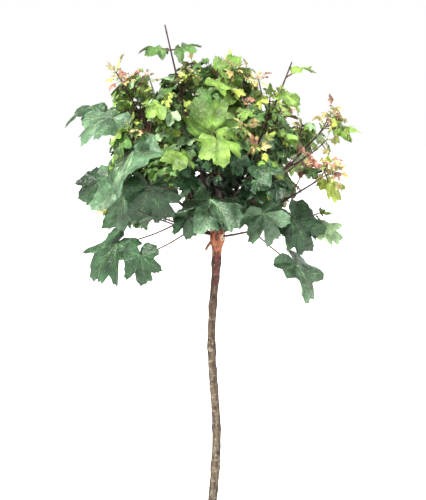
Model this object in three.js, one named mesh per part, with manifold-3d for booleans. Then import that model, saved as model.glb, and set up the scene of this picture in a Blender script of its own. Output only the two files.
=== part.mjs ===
// A young field maple trained as a small standard, in millimetres with +Z up.
// One clear stem stands on a flat cut at ground level and ends in a graft head.
// Boughs spring from the head, and each one carries a mass of twigs and lobed leaves.
// The origin is the middle of the ground cut. +X is right in the front view and +Y goes away from it.

import * as THREE from 'three';
import { mergeVertices } from 'three/addons/utils/BufferGeometryUtils.js';
import Module from 'manifold-3d';

const wasm = await Module();
wasm.setup();

// Gap left between two solids that meet, and the size under which a joint's slivers are smoothed away.
const SEAT_GAP = 0.3;
const SMALLEST_DETAIL = 0.1;

const STEM = {
  headHeight: 1000,
  topHeight: 1036,
  groundRadius: 11.5,
  upperRadius: 7.4,
  taperPower: 1.6,
  flareWidth: 9,
  flareHeight: 24,
  flareRibs: 5,
  flareRibShare: 0.2,
  swayWidth: 5.5,
  swayDepth: 2.75,
  swayPeriod: 420,
  swayStart: 300,
  lean: 3,
  budScarSpacing: 43,
  budScarWidth: 9,
  budScarHeight: 1.3,
  budScarOneSided: 0.4,
  sides: 12,
  rings: 40,
  endRingShare: 0.11
};

// The graft head is a swelling, a redder neck under it, and a domed top where the boughs leave.
const HEAD = {
  swelling: 6.4,
  swellingRise: 6,
  swellingHeight: 24,
  neckSwelling: 1.8,
  neckDrop: 40,
  neckHeight: 30,
  domeHeight: 16,
  domeRounding: 0.75
};

// The dried stub of an old shoot hangs under the graft head, its ends given from the head.
const STUB = { foot: [-5, -3, -5], tip: [-23, -6, -27], footRadius: 3.7, tipRadius: 3, sides: 6 };

const BOUGH = {
  footRadius: 3.6,
  endShare: 0.34,
  sides: 5,
  segments: 3,
  lowestFoot: -8,
  footSpan: 26,
  springShare: 0.45,
  springOut: 0.05,
  springDrop: 0.03
};

const SHOOT = {
  footRadius: 2.9,
  tipRadius: 1.3,
  sides: 4,
  segments: 4
};

const TWIG = {
  rootShare: 0.66,
  tipRadius: 1.1,
  angle: 40,
  angleSpread: 8,
  goldenTurn: 137.5,
  turnSpread: 60,
  firstShare: 0.12,
  lastShare: 0.62,
  placeSpread: 0.6,
  lengthShare: 0.82,
  lengthSpread: 0.15,
  cuts: [1, 0.8, 0.6],
  lift: 0.12,
  sides: 4,
  segments: 2
};

const LEAF = {
  pairSpacing: 25,
  firstPair: 0.75,
  lastPair: 0.2,
  pairTurn: 90,
  firstTurn: 20,
  turnSpread: 42,
  tries: 40,
  lastTryShare: 0.4,
  sizeSpread: 0.18,
  hangAtTip: 0.65,
  hangSpread: 16,
  rollSpread: 30,
  fromCrown: 0.6,
  fromStalk: 0.8,
  thicknessShare: 0.026,
  thickestShare: 0.14,
  cup: 0.16,
  cupSpread: 0.1,
  broadFrom: 50
};

const STALK = {
  share: 0.72,
  spread: 0.35,
  angle: 52,
  radius: 0.95,
  rootShare: 0.6,
  sag: 0.1,
  bendLimit: 0.2,
  asideLimit: 0.8,
  keelShare: 0.8,
  keelDrop: 0.2
};

// Clearances by which twigs and leaves keep off each other and inside their own space.
const SPACE = {
  gap: 1.4,
  stalkGap: 0.6,
  ballSpacing: 4,
  freeAtTwigRoot: 12,
  freeAtLeafRoot: 9,
  bladeReach: 1.1,
  bladeShares: [0.4, 0.7, 1],
  stemBallsFrom: 900,
  stemBallRadii: [9, 9, 11, 14, 12],
  lowest: -6
};

// The crown's outline as seen from the front, from a distance and height of the eye: how far it reaches from
// the head as [degrees from right, reach], and how low it hangs as [right, up]. Nothing grown passes it.
const CROWN = {
  eyeDistance: 2100,
  eyeHeight: 1250,
  coveredShare: 0.85,
  reach: [
    [-30, 60], [-12, 130], [-6, 216], [6, 214], [13, 186], [18, 156], [24, 134], [28, 240], [33, 256],
    [36, 262], [39, 236], [44, 320], [50, 310], [55, 262], [64, 284], [69, 304], [73, 322], [80, 322],
    [84, 340], [91, 366], [96, 356], [101, 346], [108, 338], [114, 350], [121, 366], [127, 354], [139, 340],
    [143, 280],
    [147, 256], [152, 264], [157, 296], [162, 290], [168, 256], [175, 250], [180, 236], [187, 246],
    [192, 180], [200, 150], [210, 40]
  ],
  underside: [
    [-250, 70], [-226, 60], [-210, 24], [-165, 14], [-136, 30], [-98, 30], [-88, 76], [-76, 76], [-68, 26],
    [-40, 16], [40, 16], [50, 28], [88, 30], [98, 0], [140, -10], [216, -10], [250, 6]
  ]
};

const SEEDS = { twig: 100, axis: 20, side: 2, leaf: 7100 };

// Half outlines of a blade as [degrees from the midrib, share of the midrib's length], seen from its joint.
// The last point of each is the edge of the notch where the stalk comes in.
const BROAD_LOBES = [
  [8, 1], [25, 0.6], [41, 0.9], [57, 0.83], [78, 0.48], [103, 0.58], [148, 0.3], [171, 0.1]
];
const SMALL_LOBES = [[9, 1], [28, 0.6], [50, 0.84], [118, 0.42], [168, 0.07]];

// Each limb's tip from the head as [right, back, up], the leaf size at its foot and tip,
// how far its leaves hang below level in degrees, and its number of side twigs.
const LIMBS = {
  topLeft: { tip: [-102, -20, 416], leaf: [70, 40], hang: 30, twigs: 3, leafyTo: 0.66 },
  topMiddle: { tip: [0, -50, 330], leaf: [72, 42], hang: 34, twigs: 3 },
  topRight: { tip: [146, -14, 345], leaf: [70, 42], hang: 34, twigs: 3, leafyTo: 0.74 },
  topBack: { tip: [30, 110, 345], leaf: [72, 42], hang: 30, twigs: 3 },
  upperLeft: { tip: [-198, -20, 326], leaf: [74, 40], hang: 34, twigs: 3 },
  upperFrontLeft: { tip: [-112, -130, 270], leaf: [70, 44], hang: 44, twigs: 5 },
  upperFront: { tip: [12, -190, 205], leaf: [74, 46], hang: 46, twigs: 5 },
  upperFrontRight: { tip: [118, -116, 250], leaf: [72, 44], hang: 44, twigs: 4 },
  upperRight: { tip: [226, -15, 234], leaf: [72, 42], hang: 34, twigs: 3 },
  upperBackRight: { tip: [150, 150, 250], leaf: [76, 44], hang: 38, twigs: 3 },
  upperBackLeft: { tip: [-130, 165, 260], leaf: [76, 44], hang: 38, twigs: 3 },
  middleLeft: { tip: [-192, -60, 184], leaf: [76, 46], hang: 46, twigs: 4 },
  middleFrontLeft: { tip: [-88, -176, 152], leaf: [76, 46], hang: 48, twigs: 4 },
  middleFrontRight: { tip: [104, -162, 130], leaf: [76, 44], hang: 48, twigs: 4 },
  middleRight: { tip: [224, -35, 132], leaf: [72, 42], hang: 44, twigs: 3 },
  lowFront: { tip: [-18, -172, 74], leaf: [86, 44], hang: 58, twigs: 2 },
  lowFrontLeft: { tip: [-150, -112, 62], leaf: [92, 46], hang: 62, twigs: 2 },
  lowLeft: { tip: [-226, -8, 88], leaf: [94, 46], hang: 60, twigs: 2 },
  lowFrontRight: { tip: [134, -84, 40], leaf: [84, 44], hang: 60, twigs: 2 },
  lowRight: { tip: [206, 22, 44], leaf: [84, 46], hang: 62, twigs: 2 },
  lowBackRight: { tip: [140, 150, 78], leaf: [88, 46], hang: 60, twigs: 2 },
  lowBack: { tip: [-6, 210, 92], leaf: [90, 46], hang: 58, twigs: 2 },
  lowBackLeft: { tip: [-160, 135, 82], leaf: [90, 46], hang: 60, twigs: 2 }
};

// The broad leaves that mark the crown's outline, each as a limb, the share of its shoot that the stalk
// springs from, the joint from the head, the size, [where its midrib points in the front view in degrees
// from right, how far it leans out of that view to the front], and which way its upper side faces.
const MARKED_LEAVES = [
  ['lowFront', 0.12, [-5, -120, 79], 90, [-94, 62], [0, -0.8, 1]],
  ['middleLeft', 0.6, [-136, -118, 126], 88, [-72, 8], [-0.6, -1, 0.3]],
  ['middleLeft', 0.5, [-172, -58, 106], 104, [-108, 10], [0.4, -1, 0.3]],
  ['lowLeft', 0.02, [-196, -36, -3], 104, [-138, 2], [-0.6, -0.7, 0.66]],
  ['lowFrontLeft', 0.02, [-147, -104, -17], 66, [-84, 10], [-0.2, -1, 0.25]],
  ['middleLeft', 0.64, [-236, 14, 108], 72, [-138, 5], [-0.3, -1, 0.3]],
  ['upperFrontLeft', 0.45, [-146, -114, 190], 106, [-132, 8], [-0.72, -0.25, 0.5]],
  ['upperLeft', 0.5, [-198, -44, 240], 88, [-162, 16], [-0.1, -0.6, 1]],
  ['upperLeft', 0.6, [-252, 22, 258], 62, [194, 0], [0, -0.25, 1]],
  ['upperFront', 0.6, [2, -166, 208], 68, [128, 0], [-0.2, -0.8, 0.6]],
  ['upperFront', 0.72, [13, -196, 196], 56, [-122, 40], [0, -0.9, 0.8]],
  ['middleFrontRight', 0.12, [60, -104, 76], 54, [-88, 12], [0.1, -1, 0.3]],
  ['middleFrontRight', 0.45, [92, -118, 68], 72, [-70, 10], [0.7, -1, 0.4]],
  ['lowRight', 0.4, [146, -38, 44], 88, [-54, 6], [0.4, -0.8, 0.55]],
  ['lowRight', 0.85, [208, -12, 16], 46, [-22, 4], [0.1, -0.8, 0.6]],
  ['lowRight', 0.02, [152, -26, -38], 104, [-49, 4], [0.8, -0.45, 0.68]],
  ['middleRight', 0.93, [218, -38, 112], 44, [-46, 10], [0.4, -0.7, 0.5]],
  ['upperRight', 0.9, [238, -18, 216], 46, [-6, 10], [0, -0.6, 0.9]],
  ['topLeft', 0.84, [-72, -24, 372], 40, [22, 5], [-0.2, -0.35, 1]],
  ['topLeft', 0.84, [-110, -18, 370], 42, [172, 5], [0.1, -0.35, 1]],
  ['topRight', 0.88, [160, -14, 334], 36, [2, 0], [0, -0.2, 1]],
  ['topRight', 0.7, [136, -30, 280], 44, [-40, 12], [0.4, -0.3, 0.9]],
  ['topMiddle', 0.84, [12, -44, 314], 50, [64, 6], [0, -0.9, 0.4]]
];

const UP = new THREE.Vector3(0, 0, 1);
const degrees = THREE.MathUtils.degToRad;
const mix = THREE.MathUtils.lerp;

// Where the stem's middle line is at a height.
function stemCentre(height) {
  const settle = THREE.MathUtils.smoothstep(height, 0, STEM.swayStart);
  const turn = 2 * Math.PI * (height - STEM.headHeight) / STEM.swayPeriod;
  return new THREE.Vector3(
    STEM.lean * height / STEM.headHeight + settle * STEM.swayWidth * Math.cos(turn),
    settle * STEM.swayDepth * Math.sin(turn),
    height
  );
}

const headCentre = stemCentre(STEM.headHeight);
const fromHead = ([right, back, up]) => new THREE.Vector3(right, back, up).add(headCentre);

// The stem's radius at a height and an angle round it: taper, root flare, bud scars and graft head.
function stemRadius(height, angle) {
  const bell = (from, width) => Math.exp(-(((height - from) / width) ** 2));
  const above = Math.min(1, height / STEM.headHeight);
  const taper = STEM.upperRadius + (STEM.groundRadius - STEM.upperRadius) * (1 - above) ** STEM.taperPower;
  const flare = STEM.flareWidth * Math.exp(-height / STEM.flareHeight);
  const ribs = 1 + STEM.flareRibShare * Math.cos(STEM.flareRibs * angle);
  const scar = Math.round(height / STEM.budScarSpacing);
  const scarSide = Math.cos(2 * (angle - scar * Math.PI / 2));
  const scars = STEM.budScarHeight * bell(scar * STEM.budScarSpacing, STEM.budScarWidth)
    * (1 - STEM.budScarOneSided * (1 - scarSide));
  const head = HEAD.swelling * bell(STEM.headHeight + HEAD.swellingRise, HEAD.swellingHeight)
    + HEAD.neckSwelling * bell(STEM.headHeight - HEAD.neckDrop, HEAD.neckHeight);
  const dome = THREE.MathUtils.clamp((STEM.topHeight - height) / HEAD.domeHeight, 0, 1);
  return (taper + flare * ribs + scars + head) * Math.sqrt(1 - HEAD.domeRounding * (1 - dome) ** 2);
}

// A closed solid from a three.js geometry.
function solidFrom(geometry) {
  const bare = geometry.clone();
  for (const name of ['normal', 'uv']) bare.deleteAttribute(name);
  const merged = mergeVertices(bare, 1e-4);
  return new wasm.Manifold(new wasm.Mesh({
    numProp: 3,
    vertProperties: new Float32Array(merged.attributes.position.array),
    triVerts: new Uint32Array(merged.index.array)
  }));
}

// Moves each vertex of a geometry to the place that a function gives it.
function reshape(geometry, place) {
  const positions = geometry.attributes.position;
  const vertex = new THREE.Vector3();
  for (let i = 0; i < positions.count; i++) {
    vertex.fromBufferAttribute(positions, i);
    const moved = place(vertex);
    positions.setXYZ(i, moved.x, moved.y, moved.z);
  }
  return geometry;
}

// The stem as one solid, made wider by a margin where it is used to cut what meets it.
function stemSolid(margin = 0) {
  const column = new THREE.CylinderGeometry(1, 1, 1, STEM.sides, STEM.rings);
  return solidFrom(reshape(column, (vertex) => {
    const share = vertex.y + 0.5;
    const spaced = share - STEM.endRingShare * Math.sin(2 * Math.PI * share);
    const height = spaced * STEM.topHeight;
    const angle = Math.atan2(vertex.x, vertex.z);
    const radius = Math.hypot(vertex.x, vertex.z) > 0.5 ? stemRadius(height, angle) + margin : 0;
    const top = share > 0.999 ? margin : 0;
    const out = new THREE.Vector3(radius * Math.cos(angle), radius * Math.sin(angle), top);
    return stemCentre(height).add(out);
  }));
}

// A limb: the points of its middle line and its radius at each, from one end to the other.
function limbAlong(pointAt, from, to, radii, segments) {
  const points = [];
  const widths = [];
  for (let k = 0; k <= segments; k++) {
    points.push(pointAt(mix(from, to, k / segments)));
    widths.push(mix(radii[0], radii[1], k / segments));
  }
  return { points, widths };
}

// A tapering solid round a limb's middle line.
function limbSolid({ points, widths }, sides) {
  const last = points.length - 1;
  const chord = points[last].clone().sub(points[0]);
  const steep = Math.abs(chord.z) > 0.8 * chord.length();
  const reference = steep ? new THREE.Vector3(1, 0, 0) : UP;
  const rod = new THREE.CylinderGeometry(1, 1, 1, sides, last);
  return solidFrom(reshape(rod, (vertex) => {
    const k = Math.round((vertex.y + 0.5) * last);
    const tangent = points[Math.min(k + 1, last)].clone().sub(points[Math.max(k - 1, 0)]).normalize();
    const across = reference.clone().cross(tangent).normalize();
    const other = tangent.clone().cross(across);
    return points[k].clone()
      .addScaledVector(other, vertex.x * widths[k])
      .addScaledVector(across, vertex.z * widths[k]);
  }));
}

function stubSolid() {
  const head = stemCentre(STEM.headHeight);
  const points = [STUB.foot, STUB.tip].map((from) => new THREE.Vector3(...from).add(head));
  return limbSolid({ points, widths: [STUB.footRadius, STUB.tipRadius] }, STUB.sides);
}

// A generator of the same numbers from 0 to 1 for the same seed.
function seeded(seed) {
  let state = seed >>> 0;
  return () => {
    state = (state + 0x6d2b79f5) >>> 0;
    let t = Math.imul(state ^ (state >>> 15), state | 1);
    t ^= t + Math.imul(t ^ (t >>> 7), t | 61);
    return ((t ^ (t >>> 14)) >>> 0) / 4294967296;
  };
}

// Balls along a limb, which stand for it where a leaf or twig is tested against it.
function ballsAlong({ points, widths }) {
  const balls = [];
  for (let k = 0; k + 1 < points.length; k++) {
    const steps = Math.ceil(points[k].distanceTo(points[k + 1]) / SPACE.ballSpacing);
    for (let i = 0; i <= steps; i++) {
      const share = i / steps;
      const at = points[k].clone().lerp(points[k + 1], share);
      balls.push({ at, radius: mix(widths[k], widths[k + 1], share) });
    }
  }
  return balls;
}

// The full rim of a blade, [angle in radians, share of the midrib's length], once round from the midrib.
function rimOf(lobes) {
  const half = lobes.map(([angle, share]) => [degrees(angle), share]);
  const mirrored = half.filter(([angle]) => angle > 0 && angle < Math.PI).reverse();
  return [...half, ...mirrored.map(([angle, share]) => [2 * Math.PI - angle, share])];
}

// The value at a place on the line through knots of [place, value], level beyond its ends.
function valueAt(knots, place) {
  const [first, last] = [knots[0][0], knots[knots.length - 1][0]];
  const within = THREE.MathUtils.clamp(place, first, last);
  const k = Math.max(1, knots.findIndex(([to]) => within <= to));
  const [[from, a], [to, b]] = [knots[k - 1], knots[k]];
  return mix(a, b, (within - from) / (to - from));
}

// How far a blade reaches at an angle from its midrib, as a share of the midrib's length.
function lobeReach(lobes, angle) {
  return valueAt(lobes, Math.abs(THREE.MathUtils.radToDeg(angle)));
}

// A point of a blade at an angle from its midrib and a share of the way out to its rim.
function bladePoint(blade, angle, share) {
  const out = share * lobeReach(blade.lobes, angle > Math.PI ? angle - 2 * Math.PI : angle) * blade.size;
  return blade.joint.clone()
    .addScaledVector(blade.along, out * Math.cos(angle))
    .addScaledVector(blade.side, out * Math.sin(angle))
    .addScaledVector(blade.face, -blade.cup * out);
}

function makeBlade(joint, along, face, size, cup) {
  const ahead = along.clone().normalize();
  const up = face.clone().addScaledVector(ahead, -face.dot(ahead)).normalize();
  const lobes = size > LEAF.broadFrom ? BROAD_LOBES : SMALL_LOBES;
  const blade = { joint, along: ahead, face: up, side: up.clone().cross(ahead), size, cup, lobes };
  blade.reach = SPACE.bladeReach * size;
  blade.balls = [];
  const rim = rimOf(lobes);
  rim.forEach(([angle], k) => {
    const next = k + 1 < rim.length ? rim[k + 1][0] : 2 * Math.PI;
    for (const turn of [angle, (angle + next) / 2]) {
      for (const share of SPACE.bladeShares) {
        blade.balls.push({ at: bladePoint(blade, turn, share), radius: SPACE.gap });
      }
    }
  });
  return blade;
}

// Where a point lies over a blade: its distance from the joint, the blade's reach that way, and its height.
function overBlade(blade, point) {
  const x = point.x - blade.joint.x;
  const y = point.y - blade.joint.y;
  const z = point.z - blade.joint.z;
  const ahead = x * blade.along.x + y * blade.along.y + z * blade.along.z;
  const aside = x * blade.side.x + y * blade.side.y + z * blade.side.z;
  const above = x * blade.face.x + y * blade.face.y + z * blade.face.z;
  const reach = lobeReach(blade.lobes, Math.atan2(aside, ahead)) * blade.size;
  return { out: Math.hypot(ahead, aside), reach, above };
}

function touchesBlade(blade, { at, radius }) {
  const { out, reach, above } = overBlade(blade, at);
  return out < reach + radius && Math.abs(above + blade.cup * out) < radius + SPACE.gap;
}

// True if a point stands in front of a blade as seen from the front, unless it is near the blade's rim.
function covers(blade, point) {
  const eye = new THREE.Vector3(0, -CROWN.eyeDistance, CROWN.eyeHeight);
  const sight = point.clone().sub(eye);
  const further = blade.joint.clone().sub(eye).dot(blade.face) / sight.dot(blade.face);
  const { out, reach } = overBlade(blade, eye.addScaledVector(sight, further));
  return further > 1 && out < CROWN.coveredShare * reach;
}

const limbNames = Object.keys(LIMBS);
const directions = limbNames.map((name) => new THREE.Vector3(...LIMBS[name].tip).normalize());

function insideCrown(point) {
  const nearer = CROWN.eyeDistance / (CROWN.eyeDistance + point.y);
  const right = point.x * nearer - headCentre.x;
  const above = CROWN.eyeHeight + (point.z - CROWN.eyeHeight) * nearer - headCentre.z;
  const angle = THREE.MathUtils.radToDeg(Math.atan2(above, right));
  return Math.hypot(right, above) < valueAt(CROWN.reach, angle < -90 ? angle + 360 : angle)
    && above > valueAt(CROWN.underside, right);
}

// A limb's space is the wedge of directions from the head that lie nearest to its own, inside the crown.
function insideSpace(index, point) {
  const from = point.clone().sub(headCentre);
  const own = directions[index];
  return insideCrown(point) && directions.every((other, k) => {
    const apart = own.clone().sub(other);
    return k === index || from.dot(apart) > SPACE.gap * apart.length();
  });
}

// A limb's middle line runs from the stem's axis to the shoot's tip, springing outwards a little at its foot.
function limbLine(index) {
  const tip = fromHead(LIMBS[limbNames[index]].tip);
  const rise = directions[index].z;
  const foot = stemCentre(STEM.headHeight + BOUGH.lowestFoot + BOUGH.footSpan * rise);
  const level = new THREE.Vector3(directions[index].x, directions[index].y, 0);
  const reach = tip.distanceTo(foot);
  const spring = foot.clone().lerp(tip, BOUGH.springShare)
    .addScaledVector(level, BOUGH.springOut * reach)
    .addScaledVector(UP, -BOUGH.springDrop * reach);
  const curve = new THREE.QuadraticBezierCurve3(foot, spring, tip);
  return { length: curve.getLength(), at: (share) => curve.getPoint(share) };
}

const limbLines = limbNames.map((_, index) => limbLine(index));

const boughs = limbLines.map((line) => limbAlong(
  line.at, 0, BOUGH.endShare, [BOUGH.footRadius, SHOOT.footRadius], BOUGH.segments
));

const shoots = limbLines.map((line) => limbAlong(
  line.at, BOUGH.endShare + SEAT_GAP / line.length, 1, [SHOOT.footRadius, SHOOT.tipRadius], SHOOT.segments
));

const stemBalls = ballsAlong({
  points: SPACE.stemBallRadii.map((_, k, radii) => (
    stemCentre(mix(SPACE.stemBallsFrom, STEM.topHeight, k / (radii.length - 1)))
  )),
  widths: SPACE.stemBallRadii
});
const limbBalls = [...stemBalls, ...[...boughs, ...shoots].flatMap(ballsAlong)];

function pointOn(limb, share) {
  const last = limb.points.length - 1;
  const k = Math.min(last - 1, Math.floor(share * last));
  return limb.points[k].clone().lerp(limb.points[k + 1], share * last - k);
}

function radiusOn(limb, share) {
  return mix(limb.widths[0], limb.widths[limb.widths.length - 1], share);
}

function directionOn(limb, share) {
  const last = limb.points.length - 1;
  const k = Math.min(last - 1, Math.floor(share * last));
  return limb.points[k + 1].clone().sub(limb.points[k]).normalize();
}

// A leaf's straight stalk, from its twig's axis to the blade's joint, thin enough to end inside the twig.
function makeStalk(axis, share, joint) {
  const root = pointOn(axis, share);
  const rootRadius = Math.min(STALK.radius, STALK.rootShare * radiusOn(axis, share));
  const way = root.clone().sub(joint).normalize();
  return { root, way, points: [root, joint], widths: [rootRadius, STALK.radius] };
}

// True if the stalk leaves its blade backwards, upwards or downwards, and not across it.
function leavesWell({ blade, stalk }) {
  return stalk.way.dot(blade.along) < STALK.bendLimit
    && Math.abs(stalk.way.dot(blade.side)) < STALK.asideLimit;
}

// True if a leaf keeps clear of limbs, twigs, stalks and blades, apart from the twig it grows from.
function leafIsClear({ blade, stalk }, balls, blades) {
  const ownTwig = 3 * STALK.radius + SHOOT.footRadius;
  const stalkBalls = ballsAlong(stalk).filter(({ at }) => at.distanceTo(stalk.root) > ownTwig);
  const meetsStalk = (ball) => ball.at.distanceTo(stalk.root) > SPACE.freeAtLeafRoot
    && stalkBalls.some(({ at, radius }) =>
      at.distanceTo(ball.at) < radius + ball.radius + SPACE.stalkGap);
  const isNear = (other) => other.joint.distanceTo(blade.joint) < 2 * (other.reach + blade.reach);
  const near = blades.filter(isNear);
  return !balls.some((ball) => touchesBlade(blade, ball) || meetsStalk(ball))
    && !near.some((other) => stalkBalls.some((ball) => touchesBlade(other, ball))
      || other.balls.some((ball) => touchesBlade(blade, ball))
      || blade.balls.some((ball) => touchesBlade(other, ball)));
}

// The marked leaves come first, so that everything else grows clear of them.
const masses = limbNames.map((name, index) => ({ name, index, axes: [shoots[index]], leaves: [] }));
for (const [limb, at, fromHeadTo, size, [points, leans], faces] of MARKED_LEAVES) {
  const mass = masses[limbNames.indexOf(limb)];
  const level = Math.cos(degrees(leans));
  const along = new THREE.Vector3(
    Math.cos(degrees(points)) * level,
    -Math.sin(degrees(leans)),
    Math.sin(degrees(points)) * level
  );
  const joint = fromHead(fromHeadTo);
  const blade = makeBlade(joint, along, new THREE.Vector3(...faces), size, LEAF.cup);
  mass.leaves.push({ blade, stalk: makeStalk(shoots[mass.index], at, joint) });
}
const markedLeaves = masses.flatMap((mass) => mass.leaves);
const markedBlades = markedLeaves.map((leaf) => leaf.blade);
const markedBalls = markedLeaves.flatMap((leaf) => ballsAlong(leaf.stalk));
const limbAndMarkedBalls = [...limbBalls, ...markedBalls];

// True if no ball of a twig leaves its space or meets a limb or a marked leaf.
function twigIsClear(mass, balls) {
  const meetsLimb = (ball) => limbAndMarkedBalls.some(({ at, radius }) => (
    at.distanceTo(ball.at) < radius + ball.radius + SPACE.gap
  ));
  return balls.every((ball) => insideSpace(mass.index, ball.at) && !meetsLimb(ball)
    && !markedBlades.some((blade) => touchesBlade(blade, ball)));
}

// Side twigs leave a shoot at a golden turn from each other, and are cut short to stay in their space.
function growTwigs(mass) {
  const shoot = shoots[mass.index];
  const { twigs } = LIMBS[mass.name];
  const length = limbLines[mass.index].length * (1 - BOUGH.endShare);
  for (let k = 0; k < twigs; k++) {
    const draw = seeded(SEEDS.twig * (mass.index + 1) + k);
    const share = mix(TWIG.firstShare, TWIG.lastShare, (k + TWIG.placeSpread * draw()) / twigs);
    const root = pointOn(shoot, share);
    const ahead = directionOn(shoot, share);
    const aside = ahead.clone().cross(UP).normalize()
      .applyAxisAngle(ahead, degrees(TWIG.goldenTurn * k + TWIG.turnSpread * draw()));
    const angle = degrees(TWIG.angle + TWIG.angleSpread * (2 * draw() - 1));
    const way = ahead.multiplyScalar(Math.cos(angle)).addScaledVector(aside, Math.sin(angle));
    const lengthSpread = TWIG.lengthSpread * (2 * draw() - 1);
    const fullLength = TWIG.lengthShare * (1 - share) * length * (1 + lengthSpread);
    const rootRadius = TWIG.rootShare * radiusOn(shoot, share);
    const radii = [rootRadius, Math.min(rootRadius, TWIG.tipRadius)];
    for (const cut of TWIG.cuts) {
      const reach = cut * fullLength;
      const line = (s) => root.clone().addScaledVector(way, s * reach)
        .addScaledVector(UP, TWIG.lift * reach * s * s);
      const twig = limbAlong(line, 0, 1, radii, TWIG.segments);
      const balls = ballsAlong(twig).filter(({ at }) => at.distanceTo(root) > SPACE.freeAtTwigRoot);
      if (twigIsClear(mass, balls)) {
        mass.axes.push(twig);
        break;
      }
    }
  }
}

// One leaf of a pair: its stalk leaves the twig at an angle, and its blade hangs outwards from the crown.
function tryLeaf(mass, axis, share, around, scale, draw) {
  const { leaf, hang } = LIMBS[mass.name];
  const spread = (width) => width * (2 * draw() - 1);
  const size = scale * mix(leaf[0], leaf[1], share) * (1 + spread(LEAF.sizeSpread));
  const ahead = directionOn(axis, share);
  const aside = ahead.clone().cross(UP).normalize()
    .applyAxisAngle(ahead, degrees(around + spread(LEAF.turnSpread)));
  const angle = degrees(STALK.angle);
  const way = ahead.clone().multiplyScalar(Math.cos(angle)).addScaledVector(aside, Math.sin(angle));
  const stalkLength = STALK.share * size * (1 + spread(STALK.spread));
  const joint = pointOn(axis, share).addScaledVector(way, stalkLength)
    .addScaledVector(UP, -STALK.sag * stalkLength);
  const outward = joint.clone().sub(headCentre).setZ(0).normalize().multiplyScalar(LEAF.fromCrown)
    .add(way.clone().setZ(0).multiplyScalar(LEAF.fromStalk)).normalize();
  const fall = degrees(hang * mix(1, LEAF.hangAtTip, share) + spread(LEAF.hangSpread));
  const along = outward.clone().multiplyScalar(Math.cos(fall)).addScaledVector(UP, -Math.sin(fall));
  const face = outward.clone().multiplyScalar(Math.sin(fall)).addScaledVector(UP, Math.cos(fall))
    .applyAxisAngle(along, degrees(spread(LEAF.rollSpread)));
  const blade = makeBlade(joint, along, face, size, LEAF.cup + spread(LEAF.cupSpread));
  return { blade, stalk: makeStalk(axis, share, joint) };
}

// The first try of a leaf that stays in its space and touches nothing. Each try is a little smaller.
function fittingLeaf(mass, axis, share, around, balls, blades, draw) {
  for (let k = 0; k < LEAF.tries; k++) {
    const scale = mix(1, LEAF.lastTryShare, k / LEAF.tries);
    const leaf = tryLeaf(mass, axis, share, around, scale, draw);
    const floor = headCentre.z + SPACE.lowest;
    const hides = ({ at }) => markedBlades.some((blade) => covers(blade, at));
    const fits = leavesWell(leaf)
      && insideSpace(mass.index, leaf.blade.joint)
      && leaf.blade.balls.every(({ at }) => at.z > floor && insideSpace(mass.index, at))
      && !leaf.blade.balls.some(hides)
      && leafIsClear(leaf, balls, blades);
    if (fits) return leaf;
  }
  return null;
}

// Pairs of leaves stand along each shoot and twig, each pair turned a quarter from the last.
function growLeaves(mass) {
  const { leafyTo = 1 } = LIMBS[mass.name];
  const balls = [...limbAndMarkedBalls, ...mass.axes.slice(1).flatMap(ballsAlong)];
  const blades = [...markedBlades];
  mass.axes.forEach((axis, a) => {
    const length = axis.points[0].distanceTo(axis.points[axis.points.length - 1]);
    const pairs = Math.max(1, Math.round(length / LEAF.pairSpacing));
    for (let p = 0; p < pairs; p++) {
      const share = (a === 0 ? leafyTo : 1) * (p + LEAF.firstPair) / (pairs + LEAF.lastPair);
      for (const side of [0, 1]) {
        const place = (mass.index + 1) * SEEDS.twig + a * SEEDS.axis + p;
        const draw = seeded(place * SEEDS.side + side + SEEDS.leaf);
        const around = LEAF.pairTurn * p + 180 * side + LEAF.firstTurn;
        const leaf = fittingLeaf(mass, axis, share, around, balls, blades, draw);
        if (leaf) {
          mass.leaves.push(leaf);
          blades.push(leaf.blade);
          balls.push(...ballsAlong(leaf.stalk));
        }
      }
    }
  });
}

// A leaf is one closed body: two fans of faces meet at the blade's rim, and a three-sided stalk leaves its
// notch towards the twig.
function leafSolid({ blade, stalk }) {
  const rim = rimOf(blade.lobes).map(([angle]) => bladePoint(blade, angle, 1));
  const count = rim.length;
  const left = blade.lobes.length - 1;
  const right = left + 1;
  const thickest = blade.joint.clone().addScaledVector(blade.along, LEAF.thickestShare * blade.size)
    .addScaledVector(blade.face, -blade.cup * LEAF.thickestShare * blade.size);
  const half = LEAF.thicknessShare * blade.size / 2;
  const across = rim[left].clone().sub(rim[right]);
  const aside = across.clone().normalize();
  const opening = stalk.way.clone().cross(aside).normalize();
  const keel = rim[left].clone().lerp(rim[right], 0.5)
    .addScaledVector(opening, STALK.keelShare * across.length())
    .addScaledVector(blade.face, -STALK.keelDrop);
  const level = aside.clone().addScaledVector(stalk.way, -aside.dot(stalk.way)).normalize();
  const rootCorner = (angle) => stalk.root.clone()
    .addScaledVector(level, stalk.widths[0] * Math.cos(degrees(angle)))
    .addScaledVector(opening, stalk.widths[0] * Math.sin(degrees(angle)));
  const points = [
    ...rim,
    thickest.clone().addScaledVector(blade.face, half),
    thickest.clone().addScaledVector(blade.face, -half),
    keel,
    ...[-30, 210, 90].map(rootCorner)
  ];
  const [top, bottom, below, rootLeft, rootRight, rootBelow] = [0, 1, 2, 3, 4, 5].map((k) => count + k);
  const faces = [];
  for (let k = 0; k < count; k++) {
    const next = (k + 1) % count;
    faces.push([top, k, next]);
    if (k !== left) faces.push([bottom, next, k]);
  }
  faces.push([bottom, below, left], [bottom, right, below]);
  faces.push([left, rootLeft, right], [right, rootLeft, rootRight]);
  faces.push([right, rootRight, below], [below, rootRight, rootBelow]);
  faces.push([below, rootBelow, left], [left, rootBelow, rootLeft]);
  faces.push([rootLeft, rootBelow, rootRight]);
  const geometry = new THREE.BufferGeometry().setFromPoints(points).setIndex(faces.flat());
  return solidFrom(geometry);
}

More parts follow.
